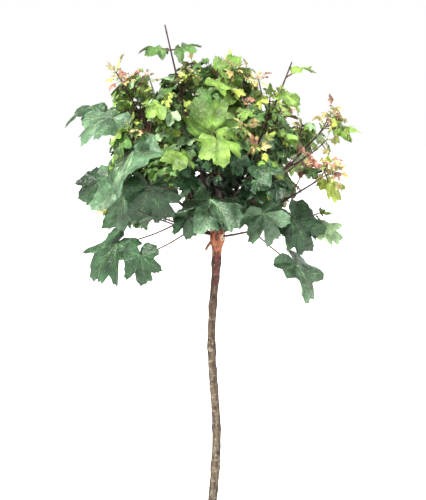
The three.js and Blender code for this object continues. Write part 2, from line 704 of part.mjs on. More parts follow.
function massSolid(mass) {
  const pieces = [
    ...mass.axes.map((axis, k) => limbSolid(axis, k === 0 ? SHOOT.sides : TWIG.sides)),
    ...mass.leaves.map(leafSolid)
  ];
  return wasm.Manifold.union(pieces).simplify(SMALLEST_DETAIL);
}

masses.forEach(growTwigs);
masses.forEach(growLeaves);

const bark = new THREE.MeshStandardMaterial({ color: 0x7b6a58, roughness: 0.85, metalness: 0 });
const shootBark = new THREE.MeshStandardMaterial({ color: 0x4a2b2a, roughness: 0.6, metalness: 0 });
const foliage = new THREE.MeshStandardMaterial({ color: 0x4f7a45, roughness: 0.55, metalness: 0 });

// A solid back as a named mesh, which is one part of the tree.
function meshOf(name, solid, material) {
  const { vertProperties, triVerts, numProp, numVert } = solid.getMesh();
  const positions = new Float32Array(numVert * 3);
  for (let i = 0; i < numVert; i++) {
    positions.set(vertProperties.subarray(i * numProp, i * numProp + 3), 3 * i);
  }
  const geometry = new THREE.BufferGeometry();
  geometry.setAttribute('position', new THREE.BufferAttribute(positions, 3));
  geometry.setIndex(new THREE.BufferAttribute(triVerts, 1));
  geometry.computeVertexNormals();
  const mesh = new THREE.Mesh(geometry, material);
  mesh.name = name;
  return mesh;
}

const plain = (name) => name.replace(/[A-Z]/g, (letter) => '_' + letter.toLowerCase());

// A bough is cut clear of the stem, and of the boughs before it where they crowd at the head.
function cutBough(bough, cutters) {
  const pieces = limbSolid(bough, BOUGH.sides).subtract(wasm.Manifold.union(cutters)).decompose();
  return pieces.sort((a, b) => b.volume() - a.volume())[0];
}

const tree = new THREE.Group();
const cutters = [stemSolid(SEAT_GAP)];
tree.add(meshOf('trunk', stemSolid().add(stubSolid()), bark));
masses.forEach((mass) => {
  const bough = boughs[mass.index];
  tree.add(meshOf('bough_' + plain(mass.name), cutBough(bough, cutters), shootBark));
  tree.add(meshOf('foliage_' + plain(mass.name), massSolid(mass), foliage));
  const wider = { points: bough.points, widths: bough.widths.map((width) => width + SEAT_GAP) };
  cutters.push(limbSolid(wider, BOUGH.sides));
});

export default tree;
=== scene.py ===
import math
import bpy
import numpy as np
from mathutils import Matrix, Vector


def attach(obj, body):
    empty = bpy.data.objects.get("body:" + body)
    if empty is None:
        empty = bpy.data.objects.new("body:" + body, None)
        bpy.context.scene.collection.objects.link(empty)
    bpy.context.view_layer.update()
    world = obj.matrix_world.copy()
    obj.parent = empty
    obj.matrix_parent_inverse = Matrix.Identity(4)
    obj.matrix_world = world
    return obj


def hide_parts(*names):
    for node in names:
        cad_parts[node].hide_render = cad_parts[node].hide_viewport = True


# A young field maple trained as a small standard, dressed for its studio picture.
# The crown grows by the same rule as the solids, carried on to finer twigs and leaves.
# The growing rule works in millimetres from the middle of the ground cut. Meshes are made in metres.

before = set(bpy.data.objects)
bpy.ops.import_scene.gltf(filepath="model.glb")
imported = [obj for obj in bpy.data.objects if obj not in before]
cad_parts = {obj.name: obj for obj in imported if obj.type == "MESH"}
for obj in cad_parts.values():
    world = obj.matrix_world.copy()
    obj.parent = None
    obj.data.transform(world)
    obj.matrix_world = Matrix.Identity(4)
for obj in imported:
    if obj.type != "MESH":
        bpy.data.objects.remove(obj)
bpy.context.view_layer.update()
mm = 0.001
up = np.array([0.0, 0.0, 1.0])


# Camera and studio

camera = dict(eye=(0.0, -2.1, 1.25), target=(0.0, 0.0, 0.972), longSide=500, pixelsPerTangent=1050, sensor=36,
              clipEnd=60)


def aimAt(thing, target):
    # turns an object's own -Z towards a point
    way = Vector(target) - thing.location
    thing.rotation_euler = way.to_track_quat("-Z", "Y").to_euler()


def makeCamera(plan):
    data = bpy.data.cameras.new("camera")
    data.sensor_width = plan["sensor"]
    data.lens = plan["sensor"] * plan["pixelsPerTangent"] / plan["longSide"]
    data.clip_end = plan["clipEnd"]
    thing = bpy.data.objects.new("camera", data)
    thing.location = plan["eye"]
    aimAt(thing, plan["target"])
    bpy.context.scene.collection.objects.link(thing)
    bpy.context.scene.camera = thing


makeCamera(camera)

studio = dict(
    floorHalf=30.0, floorColour=(0.95, 0.95, 0.95), floorRoughness=0.9, lightsAimAt=(0, 0, 1.15),
    skyColour=(1.0, 1.0, 1.0), skyStrength=0.56, backdropStrength=1.0,
    lights=[
        dict(name="softSun", kind="SUN", at=(-1.3, -1.7, 3.9), power=5.8, angle=8, colour=(1.0, 0.98, 0.94)),
        dict(name="sideFill", kind="SUN", at=(2.6, -1.6, 1.8), power=0.6, angle=60, colour=(0.94, 0.97, 1.0)),
        dict(name="backLight", kind="SUN", at=(0.8, 2.6, 2.8), power=0.8, angle=40, colour=(1.0, 1.0, 1.0)),
    ],
)


def makeStudio(plan):
    half = plan["floorHalf"]
    mesh = bpy.data.meshes.new("floor")
    mesh.from_pydata([(-half, -half, 0), (half, -half, 0), (half, half, 0), (-half, half, 0)], [], [(0, 1, 2, 3)])
    floor = bpy.data.objects.new("floor", mesh)
    bpy.context.scene.collection.objects.link(floor)
    material = bpy.data.materials.new("floorPaper")
    material.use_nodes = True
    shader = material.node_tree.nodes["Principled BSDF"]
    shader.inputs["Base Color"].default_value = (*plan["floorColour"], 1)
    shader.inputs["Roughness"].default_value = plan["floorRoughness"]
    mesh.materials.append(material)
    world = bpy.data.worlds.new("studio")
    world.use_nodes = True
    tree = world.node_tree
    background = tree.nodes["Background"]
    background.inputs["Color"].default_value = (*plan["skyColour"], 1)
    path = tree.nodes.new("ShaderNodeLightPath")  # the backdrop is brighter to the eye than it is as a light
    strength = tree.nodes.new("ShaderNodeMapRange")
    strength.inputs["To Min"].default_value = plan["skyStrength"]
    strength.inputs["To Max"].default_value = plan["backdropStrength"]
    tree.links.new(path.outputs["Is Camera Ray"], strength.inputs["Value"])
    tree.links.new(strength.outputs[0], background.inputs["Strength"])
    bpy.context.scene.world = world
    bpy.context.scene.view_settings.view_transform = "Standard"
    for light in plan["lights"]:
        data = bpy.data.lights.new(light["name"], light["kind"])
        data.energy = light["power"]
        data.angle = math.radians(light["angle"])
        data.color = light["colour"]
        thing = bpy.data.objects.new(light["name"], data)
        thing.location = light["at"]
        aimAt(thing, plan["lightsAimAt"])
        bpy.context.scene.collection.objects.link(thing)


makeStudio(studio)
print("camera and studio are set")


# The growing rule: where stem, limbs, twigs and leaves are

seatGap = 0.3

stem = dict(
    headHeight=1000, topHeight=1036, groundRadius=11.5, upperRadius=7.4, taperPower=1.6,
    flareWidth=9, flareHeight=24, flareRibs=5, flareRibShare=0.2,
    swayWidth=5.5, swayDepth=2.75, swayPeriod=420, swayStart=300, lean=3,
    budScarSpacing=43, budScarWidth=9, budScarHeight=1.3, budScarOneSided=0.4,
    swelling=6.4, swellingRise=6, swellingHeight=24, neckSwelling=1.8, neckDrop=40, neckHeight=30,
    domeHeight=16, domeRounding=0.75,
)

bough = dict(footRadius=3.6, endShare=0.34, segments=3, lowestFoot=-8, footSpan=26,
             springShare=0.45, springOut=0.05, springDrop=0.03, measureSteps=201)

shoot = dict(footRadius=2.9, tipRadius=1.3, segments=4)

twig = dict(rootShare=0.66, tipRadius=1.1, angle=40, angleSpread=8, goldenTurn=137.5, turnSpread=60,
            firstShare=0.12, lastShare=0.62, placeSpread=0.6, lengthShare=0.82, lengthSpread=0.15,
            cuts=(1, 0.8, 0.6), lift=0.12, segments=2)

leaf = dict(pairSpacing=25, firstPair=0.75, lastPair=0.2, pairTurn=90, firstTurn=20, turnSpread=42,
            tries=40, lastTryShare=0.4, sizeSpread=0.18, hangAtTip=0.65, hangSpread=16, rollSpread=30,
            fromCrown=0.6, fromStalk=0.8, cup=0.16, cupSpread=0.1, broadFrom=50)

stalk = dict(share=0.72, spread=0.35, angle=52, radius=0.95, rootShare=0.6, sag=0.1,
             bendLimit=0.2, asideLimit=0.8)

space = dict(gap=1.4, stalkGap=0.6, ballSpacing=4, freeAtTwigRoot=12, freeAtLeafRoot=9, bladeReach=1.1,
             bladeShares=(0.4, 0.7, 1), stemBallsFrom=900, stemBallRadii=(9, 9, 11, 14, 12), lowest=-6,
             nearBlade=1.2, nearStalk=2, nearMargin=12, ownStalkFree=3, blockReach=2.2, blockMargin=60)

# The crown's outline as seen from the front: reach from the head by degrees from right, and how low it hangs.
crown = dict(
    eyeDistance=2100, eyeHeight=1250, coveredShare=0.85, shownGap=5, shownSteps=22,
    reach=([-30, -12, -6, 6, 13, 18, 24, 28, 33, 36, 39, 44, 50, 55, 64, 69, 73, 80, 84, 91, 96, 101, 108, 114, 121,
            127, 139, 143, 147, 152, 157, 162, 168, 175, 180, 187, 192, 200, 210],
           [60, 130, 216, 214, 186, 156, 134, 240, 256, 262, 236, 320, 310, 262, 284, 304, 322, 322, 340, 366, 356,
            346, 338, 350, 366, 354, 340, 280, 256, 264, 296, 290, 256, 250, 236, 246, 180, 150, 40]),
    underside=([-250, -226, -210, -165, -136, -98, -88, -76, -68, -40, 40, 50, 88, 98, 140, 216, 250],
               [70, 60, 24, 14, 30, 30, 76, 76, 26, 16, 16, 28, 30, 0, -10, -10, 6]),
)

seeds = dict(twig=100, axis=20, side=2, leaf=7100, finerMass=1000, finerAxis=100)

# Half outlines of a blade as degrees from the midrib and shares of the midrib's length.
lobes = dict(
    broad=([8, 25, 41, 57, 78, 103, 148, 171], [1, 0.6, 0.9, 0.83, 0.48, 0.58, 0.3, 0.1]),
    small=([9, 28, 50, 118, 168], [1, 0.6, 0.84, 0.42, 0.07]),
)

# Each limb's tip from the head as right, back, up; leaf size at its foot and tip; hang of its leaves; twigs.
limbs = dict(
    topLeft=dict(tip=(-102, -20, 416), leaf=(70, 40), hang=30, twigs=3, leafyTo=0.66),
    topMiddle=dict(tip=(0, -50, 330), leaf=(72, 42), hang=34, twigs=3),
    topRight=dict(tip=(146, -14, 345), leaf=(70, 42), hang=34, twigs=3, leafyTo=0.74),
    topBack=dict(tip=(30, 110, 345), leaf=(72, 42), hang=30, twigs=3),
    upperLeft=dict(tip=(-198, -20, 326), leaf=(74, 40), hang=34, twigs=3),
    upperFrontLeft=dict(tip=(-112, -130, 270), leaf=(70, 44), hang=44, twigs=5),
    upperFront=dict(tip=(12, -190, 205), leaf=(74, 46), hang=46, twigs=5),
    upperFrontRight=dict(tip=(118, -116, 250), leaf=(72, 44), hang=44, twigs=4),
    upperRight=dict(tip=(226, -15, 234), leaf=(72, 42), hang=34, twigs=3),
    upperBackRight=dict(tip=(150, 150, 250), leaf=(76, 44), hang=38, twigs=3),
    upperBackLeft=dict(tip=(-130, 165, 260), leaf=(76, 44), hang=38, twigs=3),
    middleLeft=dict(tip=(-192, -60, 184), leaf=(76, 46), hang=46, twigs=4),
    middleFrontLeft=dict(tip=(-88, -176, 152), leaf=(76, 46), hang=48, twigs=4),
    middleFrontRight=dict(tip=(104, -162, 130), leaf=(76, 44), hang=48, twigs=4),
    middleRight=dict(tip=(224, -35, 132), leaf=(72, 42), hang=44, twigs=3),
    lowFront=dict(tip=(-18, -172, 74), leaf=(86, 44), hang=58, twigs=2),
    lowFrontLeft=dict(tip=(-150, -112, 62), leaf=(92, 46), hang=62, twigs=2),
    lowLeft=dict(tip=(-226, -8, 88), leaf=(94, 46), hang=60, twigs=2),
    lowFrontRight=dict(tip=(134, -84, 40), leaf=(84, 44), hang=60, twigs=2),
    lowRight=dict(tip=(206, 22, 44), leaf=(84, 46), hang=62, twigs=2),
    lowBackRight=dict(tip=(140, 150, 78), leaf=(88, 46), hang=60, twigs=2),
    lowBack=dict(tip=(-6, 210, 92), leaf=(90, 46), hang=58, twigs=2),
    lowBackLeft=dict(tip=(-160, 135, 82), leaf=(90, 46), hang=60, twigs=2),
)
limbNames = list(limbs)

# The broad leaves that mark the crown's outline: limb, share of its shoot, joint from the head, size,
# where the midrib points in the front view and how far it leans to the front, which way it faces, its tint.
markedLeaves = [
    ("lowFront", 0.12, (-12, -120, 84), 86, (-110, 62), (0, -0.8, 1), "sheen"),
    ("middleLeft", 0.6, (-128, -118, 110), 72, (-72, 8), (-0.6, -1, 0.3), "deep"),
    ("middleLeft", 0.5, (-174, -58, 104), 92, (-108, 10), (0.4, -1, 0.3), "sheen"),
    ("lowLeft", 0.02, (-198, -36, -10), 92, (-134, 2), (-0.6, -0.7, 0.66), "deep"),
    ("lowFrontLeft", 0.02, (-147, -104, -24), 58, (-84, 10), (-0.2, -1, 0.25), "deep"),
    ("middleLeft", 0.64, (-238, 14, 110), 56, (-138, 5), (-0.3, -1, 0.3), "deep"),
    ("upperFrontLeft", 0.45, (-158, -114, 176), 92, (-130, 8), (-0.7, -0.3, 0.5), "sheen"),
    ("upperLeft", 0.5, (-204, -44, 238), 76, (-162, 16), (-0.1, -0.6, 1), "sheen"),
    ("upperLeft", 0.6, (-252, 22, 258), 62, (194, 0), (0, -0.25, 1), "deep"),
    ("upperFront", 0.6, (-8, -166, 211), 70, (122, 0), (-0.45, -0.75, 0.4), "fresh"),
    ("upperFront", 0.72, (-2, -196, 200), 54, (-72, 40), (0, -0.55, 0.9), "bright"),
    ("middleFrontRight", 0.12, (56, -104, 68), 46, (-70, 12), (-0.1, -0.9, 0.6), "sheen"),
    ("middleFrontRight", 0.45, (86, -118, 58), 62, (-64, 10), (0.1, -0.9, 0.6), "sheen"),
    ("lowRight", 0.4, (150, -38, 38), 74, (-58, 6), (0.1, -0.8, 0.6), "deep"),
    ("lowRight", 0.85, (214, -12, 16), 44, (-22, 4), (0.1, -0.8, 0.6), "pale"),
    ("lowFrontLeft", 0.06, (-58, -96, 50), 44, (-82, 10), (-0.1, -0.9, 0.5), "deep"),
    ("lowRight", 0.02, (158, -26, -54), 80, (-50, 4), (0.55, -0.5, 0.75), "sheen"),
    ("middleRight", 0.93, (218, -38, 112), 44, (-46, 10), (0.4, -0.7, 0.5), "lime"),
    ("upperRight", 0.9, (238, -18, 216), 46, (-6, 10), (0, -0.6, 0.9), "bright"),
    ("topLeft", 0.84, (-72, -24, 372), 40, (22, 5), (-0.2, -0.35, 1), "middle"),
    ("topLeft", 0.84, (-110, -18, 370), 42, (172, 5), (0.1, -0.35, 1), "middle"),
    ("topRight", 0.88, (160, -14, 334), 36, (2, 0), (0, -0.2, 1), "bright"),
    ("topRight", 0.7, (136, -30, 280), 44, (-40, 12), (0.4, -0.3, 0.9), "bright"),
    ("topMiddle", 0.84, (12, -44, 314), 50, (64, 6), (0, -0.9, 0.4), "fresh"),
]


def unit(v):
    return v / np.linalg.norm(v, axis=-1, keepdims=True)


def mix(a, b, share):
    return a + (b - a) * share


def turned(v, axis, angle):
    # a vector turned about a unit axis: the part along the axis stays, the rest turns by cosine and sine
    c, s = math.cos(angle), math.sin(angle)
    return v * c + np.cross(axis, v) * s + axis * np.dot(axis, v) * (1 - c)


def drawFrom(seed):
    # gives the same numbers from 0 to 1 for the same seed, one at each call
    state = [seed & 0xFFFFFFFF]

    def draw():
        state[0] = (state[0] + 0x6D2B79F5) & 0xFFFFFFFF
        t = state[0]
        t = ((t ^ (t >> 15)) * (t | 1)) & 0xFFFFFFFF
        t ^= (t + (((t ^ (t >> 7)) * (t | 61)) & 0xFFFFFFFF)) & 0xFFFFFFFF
        return (t ^ (t >> 14)) / 4294967296

    return draw


def swing(draw, width):
    # a drawn number from -width to width
    return width * (2 * draw() - 1)


def leaving(ahead, turn, angle):
    # the direction at an angle to ahead, towards the level side turned about it: ahead × cosine + side × sine
    aside = turned(unit(np.cross(ahead, up)), ahead, math.radians(turn))
    return ahead * math.cos(math.radians(angle)) + aside * math.sin(math.radians(angle))


def stemCentre(height):
    # the stem's middle line: a slow sideways sine that settles to nothing at the ground, plus a lean
    height = np.asarray(height, float)
    t = np.clip(height / stem["swayStart"], 0, 1)
    settle = t * t * (3 - 2 * t)
    turn = 2 * math.pi * (height - stem["headHeight"]) / stem["swayPeriod"]
    x = stem["lean"] * height / stem["headHeight"] + settle * stem["swayWidth"] * np.cos(turn)
    y = settle * stem["swayDepth"] * np.sin(turn)
    return np.stack([x, y, height], -1)


def stemRadius(height, angle):
    # taper by a power of height, plus flare with ribs, bells for bud scars and graft head, and a domed top
    def bell(start, width):
        return np.exp(-((height - start) / width) ** 2)

    above = np.minimum(1, height / stem["headHeight"])
    taper = stem["upperRadius"] + (stem["groundRadius"] - stem["upperRadius"]) * (1 - above) ** stem["taperPower"]
    ribs = 1 + stem["flareRibShare"] * np.cos(stem["flareRibs"] * angle)
    flare = stem["flareWidth"] * np.exp(-height / stem["flareHeight"]) * ribs
    scar = np.floor(height / stem["budScarSpacing"] + 0.5)
    scarSide = np.cos(2 * (angle - scar * math.pi / 2))
    scars = stem["budScarHeight"] * bell(scar * stem["budScarSpacing"], stem["budScarWidth"])
    scars = scars * (1 - stem["budScarOneSided"] * (1 - scarSide))
    head = (stem["swelling"] * bell(stem["headHeight"] + stem["swellingRise"], stem["swellingHeight"])
            + stem["neckSwelling"] * bell(stem["headHeight"] - stem["neckDrop"], stem["neckHeight"]))
    dome = np.clip((stem["topHeight"] - height) / stem["domeHeight"], 0, 1)
    return (taper + flare + scars + head) * np.sqrt(1 - stem["domeRounding"] * (1 - dome) ** 2)


headCentre = stemCentre(stem["headHeight"])


def limbCurve(name):
    # a quadratic curve from the stem's axis to the shoot's tip, springing outwards a little at its foot
    tip = headCentre + np.array(limbs[name]["tip"], float)
    way = unit(np.array(limbs[name]["tip"], float))
    foot = stemCentre(stem["headHeight"] + bough["lowestFoot"] + bough["footSpan"] * way[2])
    reach = np.linalg.norm(tip - foot)
    level = np.array([way[0], way[1], 0])
    spring = mix(foot, tip, bough["springShare"]) + level * bough["springOut"] * reach
    spring = spring - up * bough["springDrop"] * reach

    def at(share):
        share = np.asarray(share, float)[..., None]
        return (1 - share) ** 2 * foot + 2 * (1 - share) * share * spring + share ** 2 * tip

    steps = at(np.linspace(0, 1, bough["measureSteps"]))
    return at, np.linalg.norm(np.diff(steps, axis=0), axis=1).sum()


def limbAlong(at, start, end, radii, segments):
    shares = np.linspace(0, 1, segments + 1)
    return dict(points=at(mix(start, end, shares)), widths=mix(radii[0], radii[1], shares))


def ballsAlong(limb):
    # balls along a limb's middle line, as rows of x, y, z and radius
    rows = []
    points, widths = limb["points"], limb["widths"]
    for k in range(len(points) - 1):
        steps = math.ceil(np.linalg.norm(points[k + 1] - points[k]) / space["ballSpacing"])
        share = np.linspace(0, 1, steps + 1)[:, None]
        at = mix(points[k], points[k + 1], share)
        rows.append(np.hstack([at, mix(widths[k], widths[k + 1], share)]))
    return np.vstack(rows)


def pointOn(limb, share):
    last = len(limb["points"]) - 1
    k = min(last - 1, math.floor(share * last))
    return mix(limb["points"][k], limb["points"][k + 1], share * last - k)


def directionOn(limb, share):
    last = len(limb["points"]) - 1
    k = min(last - 1, math.floor(share * last))
    return unit(limb["points"][k + 1] - limb["points"][k])


def radiusOn(limb, share):
    return mix(limb["widths"][0], limb["widths"][-1], share)


def lengthOf(limb):
    return np.linalg.norm(limb["points"][-1] - limb["points"][0])


directions = unit(np.array([limbs[name]["tip"] for name in limbNames], float))
curves = [limbCurve(name) for name in limbNames]
boughs = [limbAlong(at, 0, bough["endShare"], (bough["footRadius"], shoot["footRadius"]), bough["segments"])
          for at, length in curves]
shoots = [limbAlong(at, bough["endShare"] + seatGap / length, 1, (shoot["footRadius"], shoot["tipRadius"]),
                    shoot["segments"]) for at, length in curves]


eye = np.array([0, -crown["eyeDistance"], crown["eyeHeight"]])


def insideCrown(points):
    # true for points that the front view shows within the crown's reach and above its underside
    nearer = crown["eyeDistance"] / (crown["eyeDistance"] + points[:, 1])
    right = points[:, 0] * nearer - headCentre[0]
    above = crown["eyeHeight"] + (points[:, 2] - crown["eyeHeight"]) * nearer - headCentre[2]
    angle = np.degrees(np.arctan2(above, right))
    angle = np.where(angle < -90, angle + 360, angle)
    withinReach = np.hypot(right, above) < np.interp(angle, *crown["reach"])
    return withinReach & (above > np.interp(right, *crown["underside"]))


def insideSpace(index, points, gap):
    # true for points in the wedge of directions from the head that lie nearest to the limb's own, inside the crown
    apart = directions[index] - np.delete(directions, index, 0)
    inside = ((points - headCentre) @ apart.T > gap * np.linalg.norm(apart, axis=1)).all(-1)
    return inside & insideCrown(points)


def lobeReach(kind, angle):
    # the outline's reach at an angle in radians from the midrib, as a share of the midrib's length
    return np.interp(np.abs(np.degrees((angle + math.pi) % (2 * math.pi) - math.pi)), *lobes[kind])


def testPoints(kind):
    # angles and shares of the points that stand for a blade where it is tested
    half = np.radians(lobes[kind][0])
    rim = np.concatenate([half, 2 * math.pi - half[::-1]])
    after = np.append(rim[1:], 2 * math.pi)
    angles = np.stack([rim, (rim + after) / 2], 1).ravel()
    return [grid.ravel() for grid in np.meshgrid(angles, space["bladeShares"], indexing="ij")]


bladeTests = {kind: testPoints(kind) for kind in lobes}


def makeBlade(joint, along, face, size, cup):
    ahead = unit(along)
    facing = unit(face - ahead * np.dot(face, ahead))
    kind = "broad" if size > leaf["broadFrom"] else "small"
    blade = dict(joint=joint, along=ahead, face=facing, side=np.cross(facing, ahead), size=size, cup=cup, kind=kind)
    angle, share = bladeTests[kind]
    out = (share * lobeReach(kind, angle) * size)[:, None]
    spread = np.cos(angle)[:, None] * ahead + np.sin(angle)[:, None] * blade["side"] - cup * facing
    blade["points"] = joint + out * spread
    return blade


def overBlade(blade, points):
    # where points lie over a blade: distance from the joint, the blade's reach that way, and height
    apart = points - blade["joint"]
    ahead, aside, above = apart @ blade["along"], apart @ blade["side"], apart @ blade["face"]
    return np.hypot(ahead, aside), lobeReach(blade["kind"], np.arctan2(aside, ahead)) * blade["size"], above


def touchesBlade(blade, points, radius, gap):
    # true for balls that reach the blade's cupped sheet inside its outline
    out, reach, above = overBlade(blade, points)
    return (out < reach + radius) & (np.abs(above + blade["cup"] * out) < radius + gap)


def covers(blade, points):
    # true for points in front of a blade as seen from the front, apart from those near its rim
    sight = points - eye
    further = (blade["joint"] - eye) @ blade["face"] / (sight @ blade["face"])
    out, reach, _ = overBlade(blade, eye + sight * further[:, None])
    return (further > 1) & (out < crown["coveredShare"] * reach)


# Shoots that leaves keep from hiding in the front view, each from a share of its length to its tip.
shownShoots = dict(topLeft=0.4, topRight=0.34, upperRight=0.45, middleRight=0.4, upperLeft=0.5)
shownPoints = np.array([pointOn(shoots[limbNames.index(name)], share) for name, first in shownShoots.items()
                        for share in np.linspace(first, 1, crown["shownSteps"])])


def hidesMarked(points):
    return any(covers(blade, points).any() for blade in markedBlades)


def hidesShoots(points):
    # true for a leaf close before one of the shoots that stay in view: points off the line of sight to them
    sight = unit(shownPoints - eye)[:, None]
    apart = points[None] - eye
    along = (apart * sight).sum(2)
    off = np.linalg.norm(apart - along[..., None] * sight, axis=2)
    distance = np.linalg.norm(shownPoints - eye, axis=1)[:, None]
    return ((off < crown["shownGap"]) & (along < distance - crown["shownGap"])).any()


def makeStalk(axis, share, joint):
    root = pointOn(axis, share)
    rootRadius = min(stalk["radius"], stalk["rootShare"] * radiusOn(axis, share))
    return dict(root=root, way=unit(root - joint), points=np.array([root, joint]),
                widths=np.array([rootRadius, stalk["radius"]]))


def leavesWell(one):
    way = one["stalk"]["way"]
    return (way @ one["blade"]["along"] < stalk["bendLimit"]
            and abs(way @ one["blade"]["side"]) < stalk["asideLimit"])


def leafIsClear(one, balls, others, gap):
    # true if a leaf keeps clear of limbs, stalks and blades, apart from the twig it grows from
    blade, root = one["blade"], one["stalk"]["root"]
    away = np.linalg.norm(balls[:, :3] - blade["joint"], axis=1)
    near = balls[away < space["nearBlade"] * blade["size"] + space["nearMargin"]]
    if len(near) and touchesBlade(blade, near[:, :3], near[:, 3], gap).any():
        return False
    own = ballsAlong(one["stalk"])
    ownFree = space["ownStalkFree"] * stalk["radius"] + shoot["footRadius"]
    own = own[np.linalg.norm(own[:, :3] - root, axis=1) > ownFree]
    beyond = balls[(np.linalg.norm(balls[:, :3] - root, axis=1) > space["freeAtLeafRoot"])
                   & (away < space["nearStalk"] * blade["size"] + space["nearMargin"])]
    if len(own) and len(beyond):
        apart = np.linalg.norm(own[:, None, :3] - beyond[None, :, :3], axis=2)
        if (apart < own[:, None, 3] + beyond[None, :, 3] + space["stalkGap"]).any():
            return False
    for other in others:
        reach = 2 * space["bladeReach"] * (other["size"] + blade["size"])
        if np.linalg.norm(other["joint"] - blade["joint"]) >= reach:
            continue
        if (touchesBlade(other, blade["points"], gap, gap).any()
                or touchesBlade(blade, other["points"], gap, gap).any()
                or (len(own) and touchesBlade(other, own[:, :3], own[:, 3], gap).any())):
            return False
    return True


stemSteps = stemCentre(np.linspace(space["stemBallsFrom"], stem["topHeight"], len(space["stemBallRadii"])))
stemBalls = ballsAlong(dict(points=stemSteps, widths=np.array(space["stemBallRadii"], float)))
limbBalls = np.vstack([stemBalls] + [ballsAlong(limb) for limb in boughs + shoots])

masses = [dict(name=name, index=k, axes=[shoots[k]], leaves=[]) for k, name in enumerate(limbNames)]
for limb, at, joint, size, (points, leans), faces, tint in markedLeaves:
    mass = masses[limbNames.index(limb)]
    level = math.cos(math.radians(leans))
    along = np.array([math.cos(math.radians(points)) * level, -math.sin(math.radians(leans)),
                      math.sin(math.radians(points)) * level])
    blade = makeBlade(headCentre + np.array(joint, float), along, np.array(faces, float), size, leaf["cup"])
    mass["leaves"].append(dict(blade=blade, stalk=makeStalk(shoots[mass["index"]], at, blade["joint"]),
                               tint=tint, marked=True, axis=0))
markedOnes = [one for mass in masses for one in mass["leaves"]]
markedBlades = [one["blade"] for one in markedOnes]
limbAndMarkedBalls = np.vstack([limbBalls] + [ballsAlong(one["stalk"]) for one in markedOnes])


def twigIsClear(index, balls):
    points, radius = balls[:, :3], balls[:, 3]
    if not insideSpace(index, points, space["gap"]).all():
        return False
    apart = np.linalg.norm(points[:, None] - limbAndMarkedBalls[None, :, :3], axis=2)
    if (apart < radius[:, None] + limbAndMarkedBalls[None, :, 3] + space["gap"]).any():
        return False
    return not any(touchesBlade(blade, points, radius, space["gap"]).any() for blade in markedBlades)


def growTwigs(mass):
    # side twigs leave a shoot at a golden turn from each other, and are cut short to stay in their space
    index = mass["index"]
    axis, count = shoots[index], limbs[mass["name"]]["twigs"]
    length = curves[index][1] * (1 - bough["endShare"])
    for k in range(count):
        draw = drawFrom(seeds["twig"] * (index + 1) + k)
        share = mix(twig["firstShare"], twig["lastShare"], (k + twig["placeSpread"] * draw()) / count)
        root = pointOn(axis, share)
        turn = twig["goldenTurn"] * k + twig["turnSpread"] * draw()
        way = leaving(directionOn(axis, share), turn, twig["angle"] + swing(draw, twig["angleSpread"]))
        fullLength = twig["lengthShare"] * (1 - share) * length * (1 + swing(draw, twig["lengthSpread"]))
        rootRadius = twig["rootShare"] * radiusOn(axis, share)
        radii = (rootRadius, min(rootRadius, twig["tipRadius"]))
        for cut in twig["cuts"]:
            reach = cut * fullLength
            line = lambda s: root + way * s[:, None] * reach + up * twig["lift"] * reach * s[:, None] ** 2
            grown = limbAlong(line, 0, 1, radii, twig["segments"])
            balls = ballsAlong(grown)
            balls = balls[np.linalg.norm(balls[:, :3] - root, axis=1) > space["freeAtTwigRoot"]]
            if twigIsClear(index, balls):
                mass["axes"].append(grown)
                break


def hangingLeaf(mass, axis, share, turn, size, reach, outShare, draw):
    # a leaf whose stalk leaves its axis at an angle, and whose blade hangs outwards from the crown
    way = leaving(directionOn(axis, share), turn, stalk["angle"])
    joint = pointOn(axis, share) + (way - up * stalk["sag"]) * reach
    flat = np.array([1, 1, 0])
    outward = unit(unit((joint - headCentre) * flat) * leaf["fromCrown"] + way * flat * leaf["fromStalk"])
    hang = limbs[mass["name"]]["hang"] * mix(1, leaf["hangAtTip"], outShare)
    fall = math.radians(hang + swing(draw, leaf["hangSpread"]))
    along = outward * math.cos(fall) - up * math.sin(fall)
    roll = math.radians(swing(draw, leaf["rollSpread"]))
    face = turned(outward * math.sin(fall) + up * math.cos(fall), along, roll)
    blade = makeBlade(joint, along, face, size, leaf["cup"] + swing(draw, leaf["cupSpread"]))
    return dict(blade=blade, stalk=makeStalk(axis, share, joint))


def fittingLeaf(mass, axis, share, around, balls, blades, draw):
    # the first try of a leaf that stays in its space and touches nothing, each try a little smaller
    floor = headCentre[2] + space["lowest"]
    for k in range(leaf["tries"]):
        scale = mix(1, leaf["lastTryShare"], k / leaf["tries"])
        size = scale * mix(*limbs[mass["name"]]["leaf"], share) * (1 + swing(draw, leaf["sizeSpread"]))
        turn = around + swing(draw, leaf["turnSpread"])
        reach = stalk["share"] * size * (1 + swing(draw, stalk["spread"]))
        one = hangingLeaf(mass, axis, share, turn, size, reach, share, draw)
        points = one["blade"]["points"]
        if (leavesWell(one) and (points[:, 2] > floor).all()
                and insideSpace(mass["index"], np.vstack([points, one["blade"]["joint"]]), space["gap"]).all()
                and not hidesMarked(points) and not hidesShoots(points)
                and leafIsClear(one, balls, blades, space["gap"])):
            return one
    return None


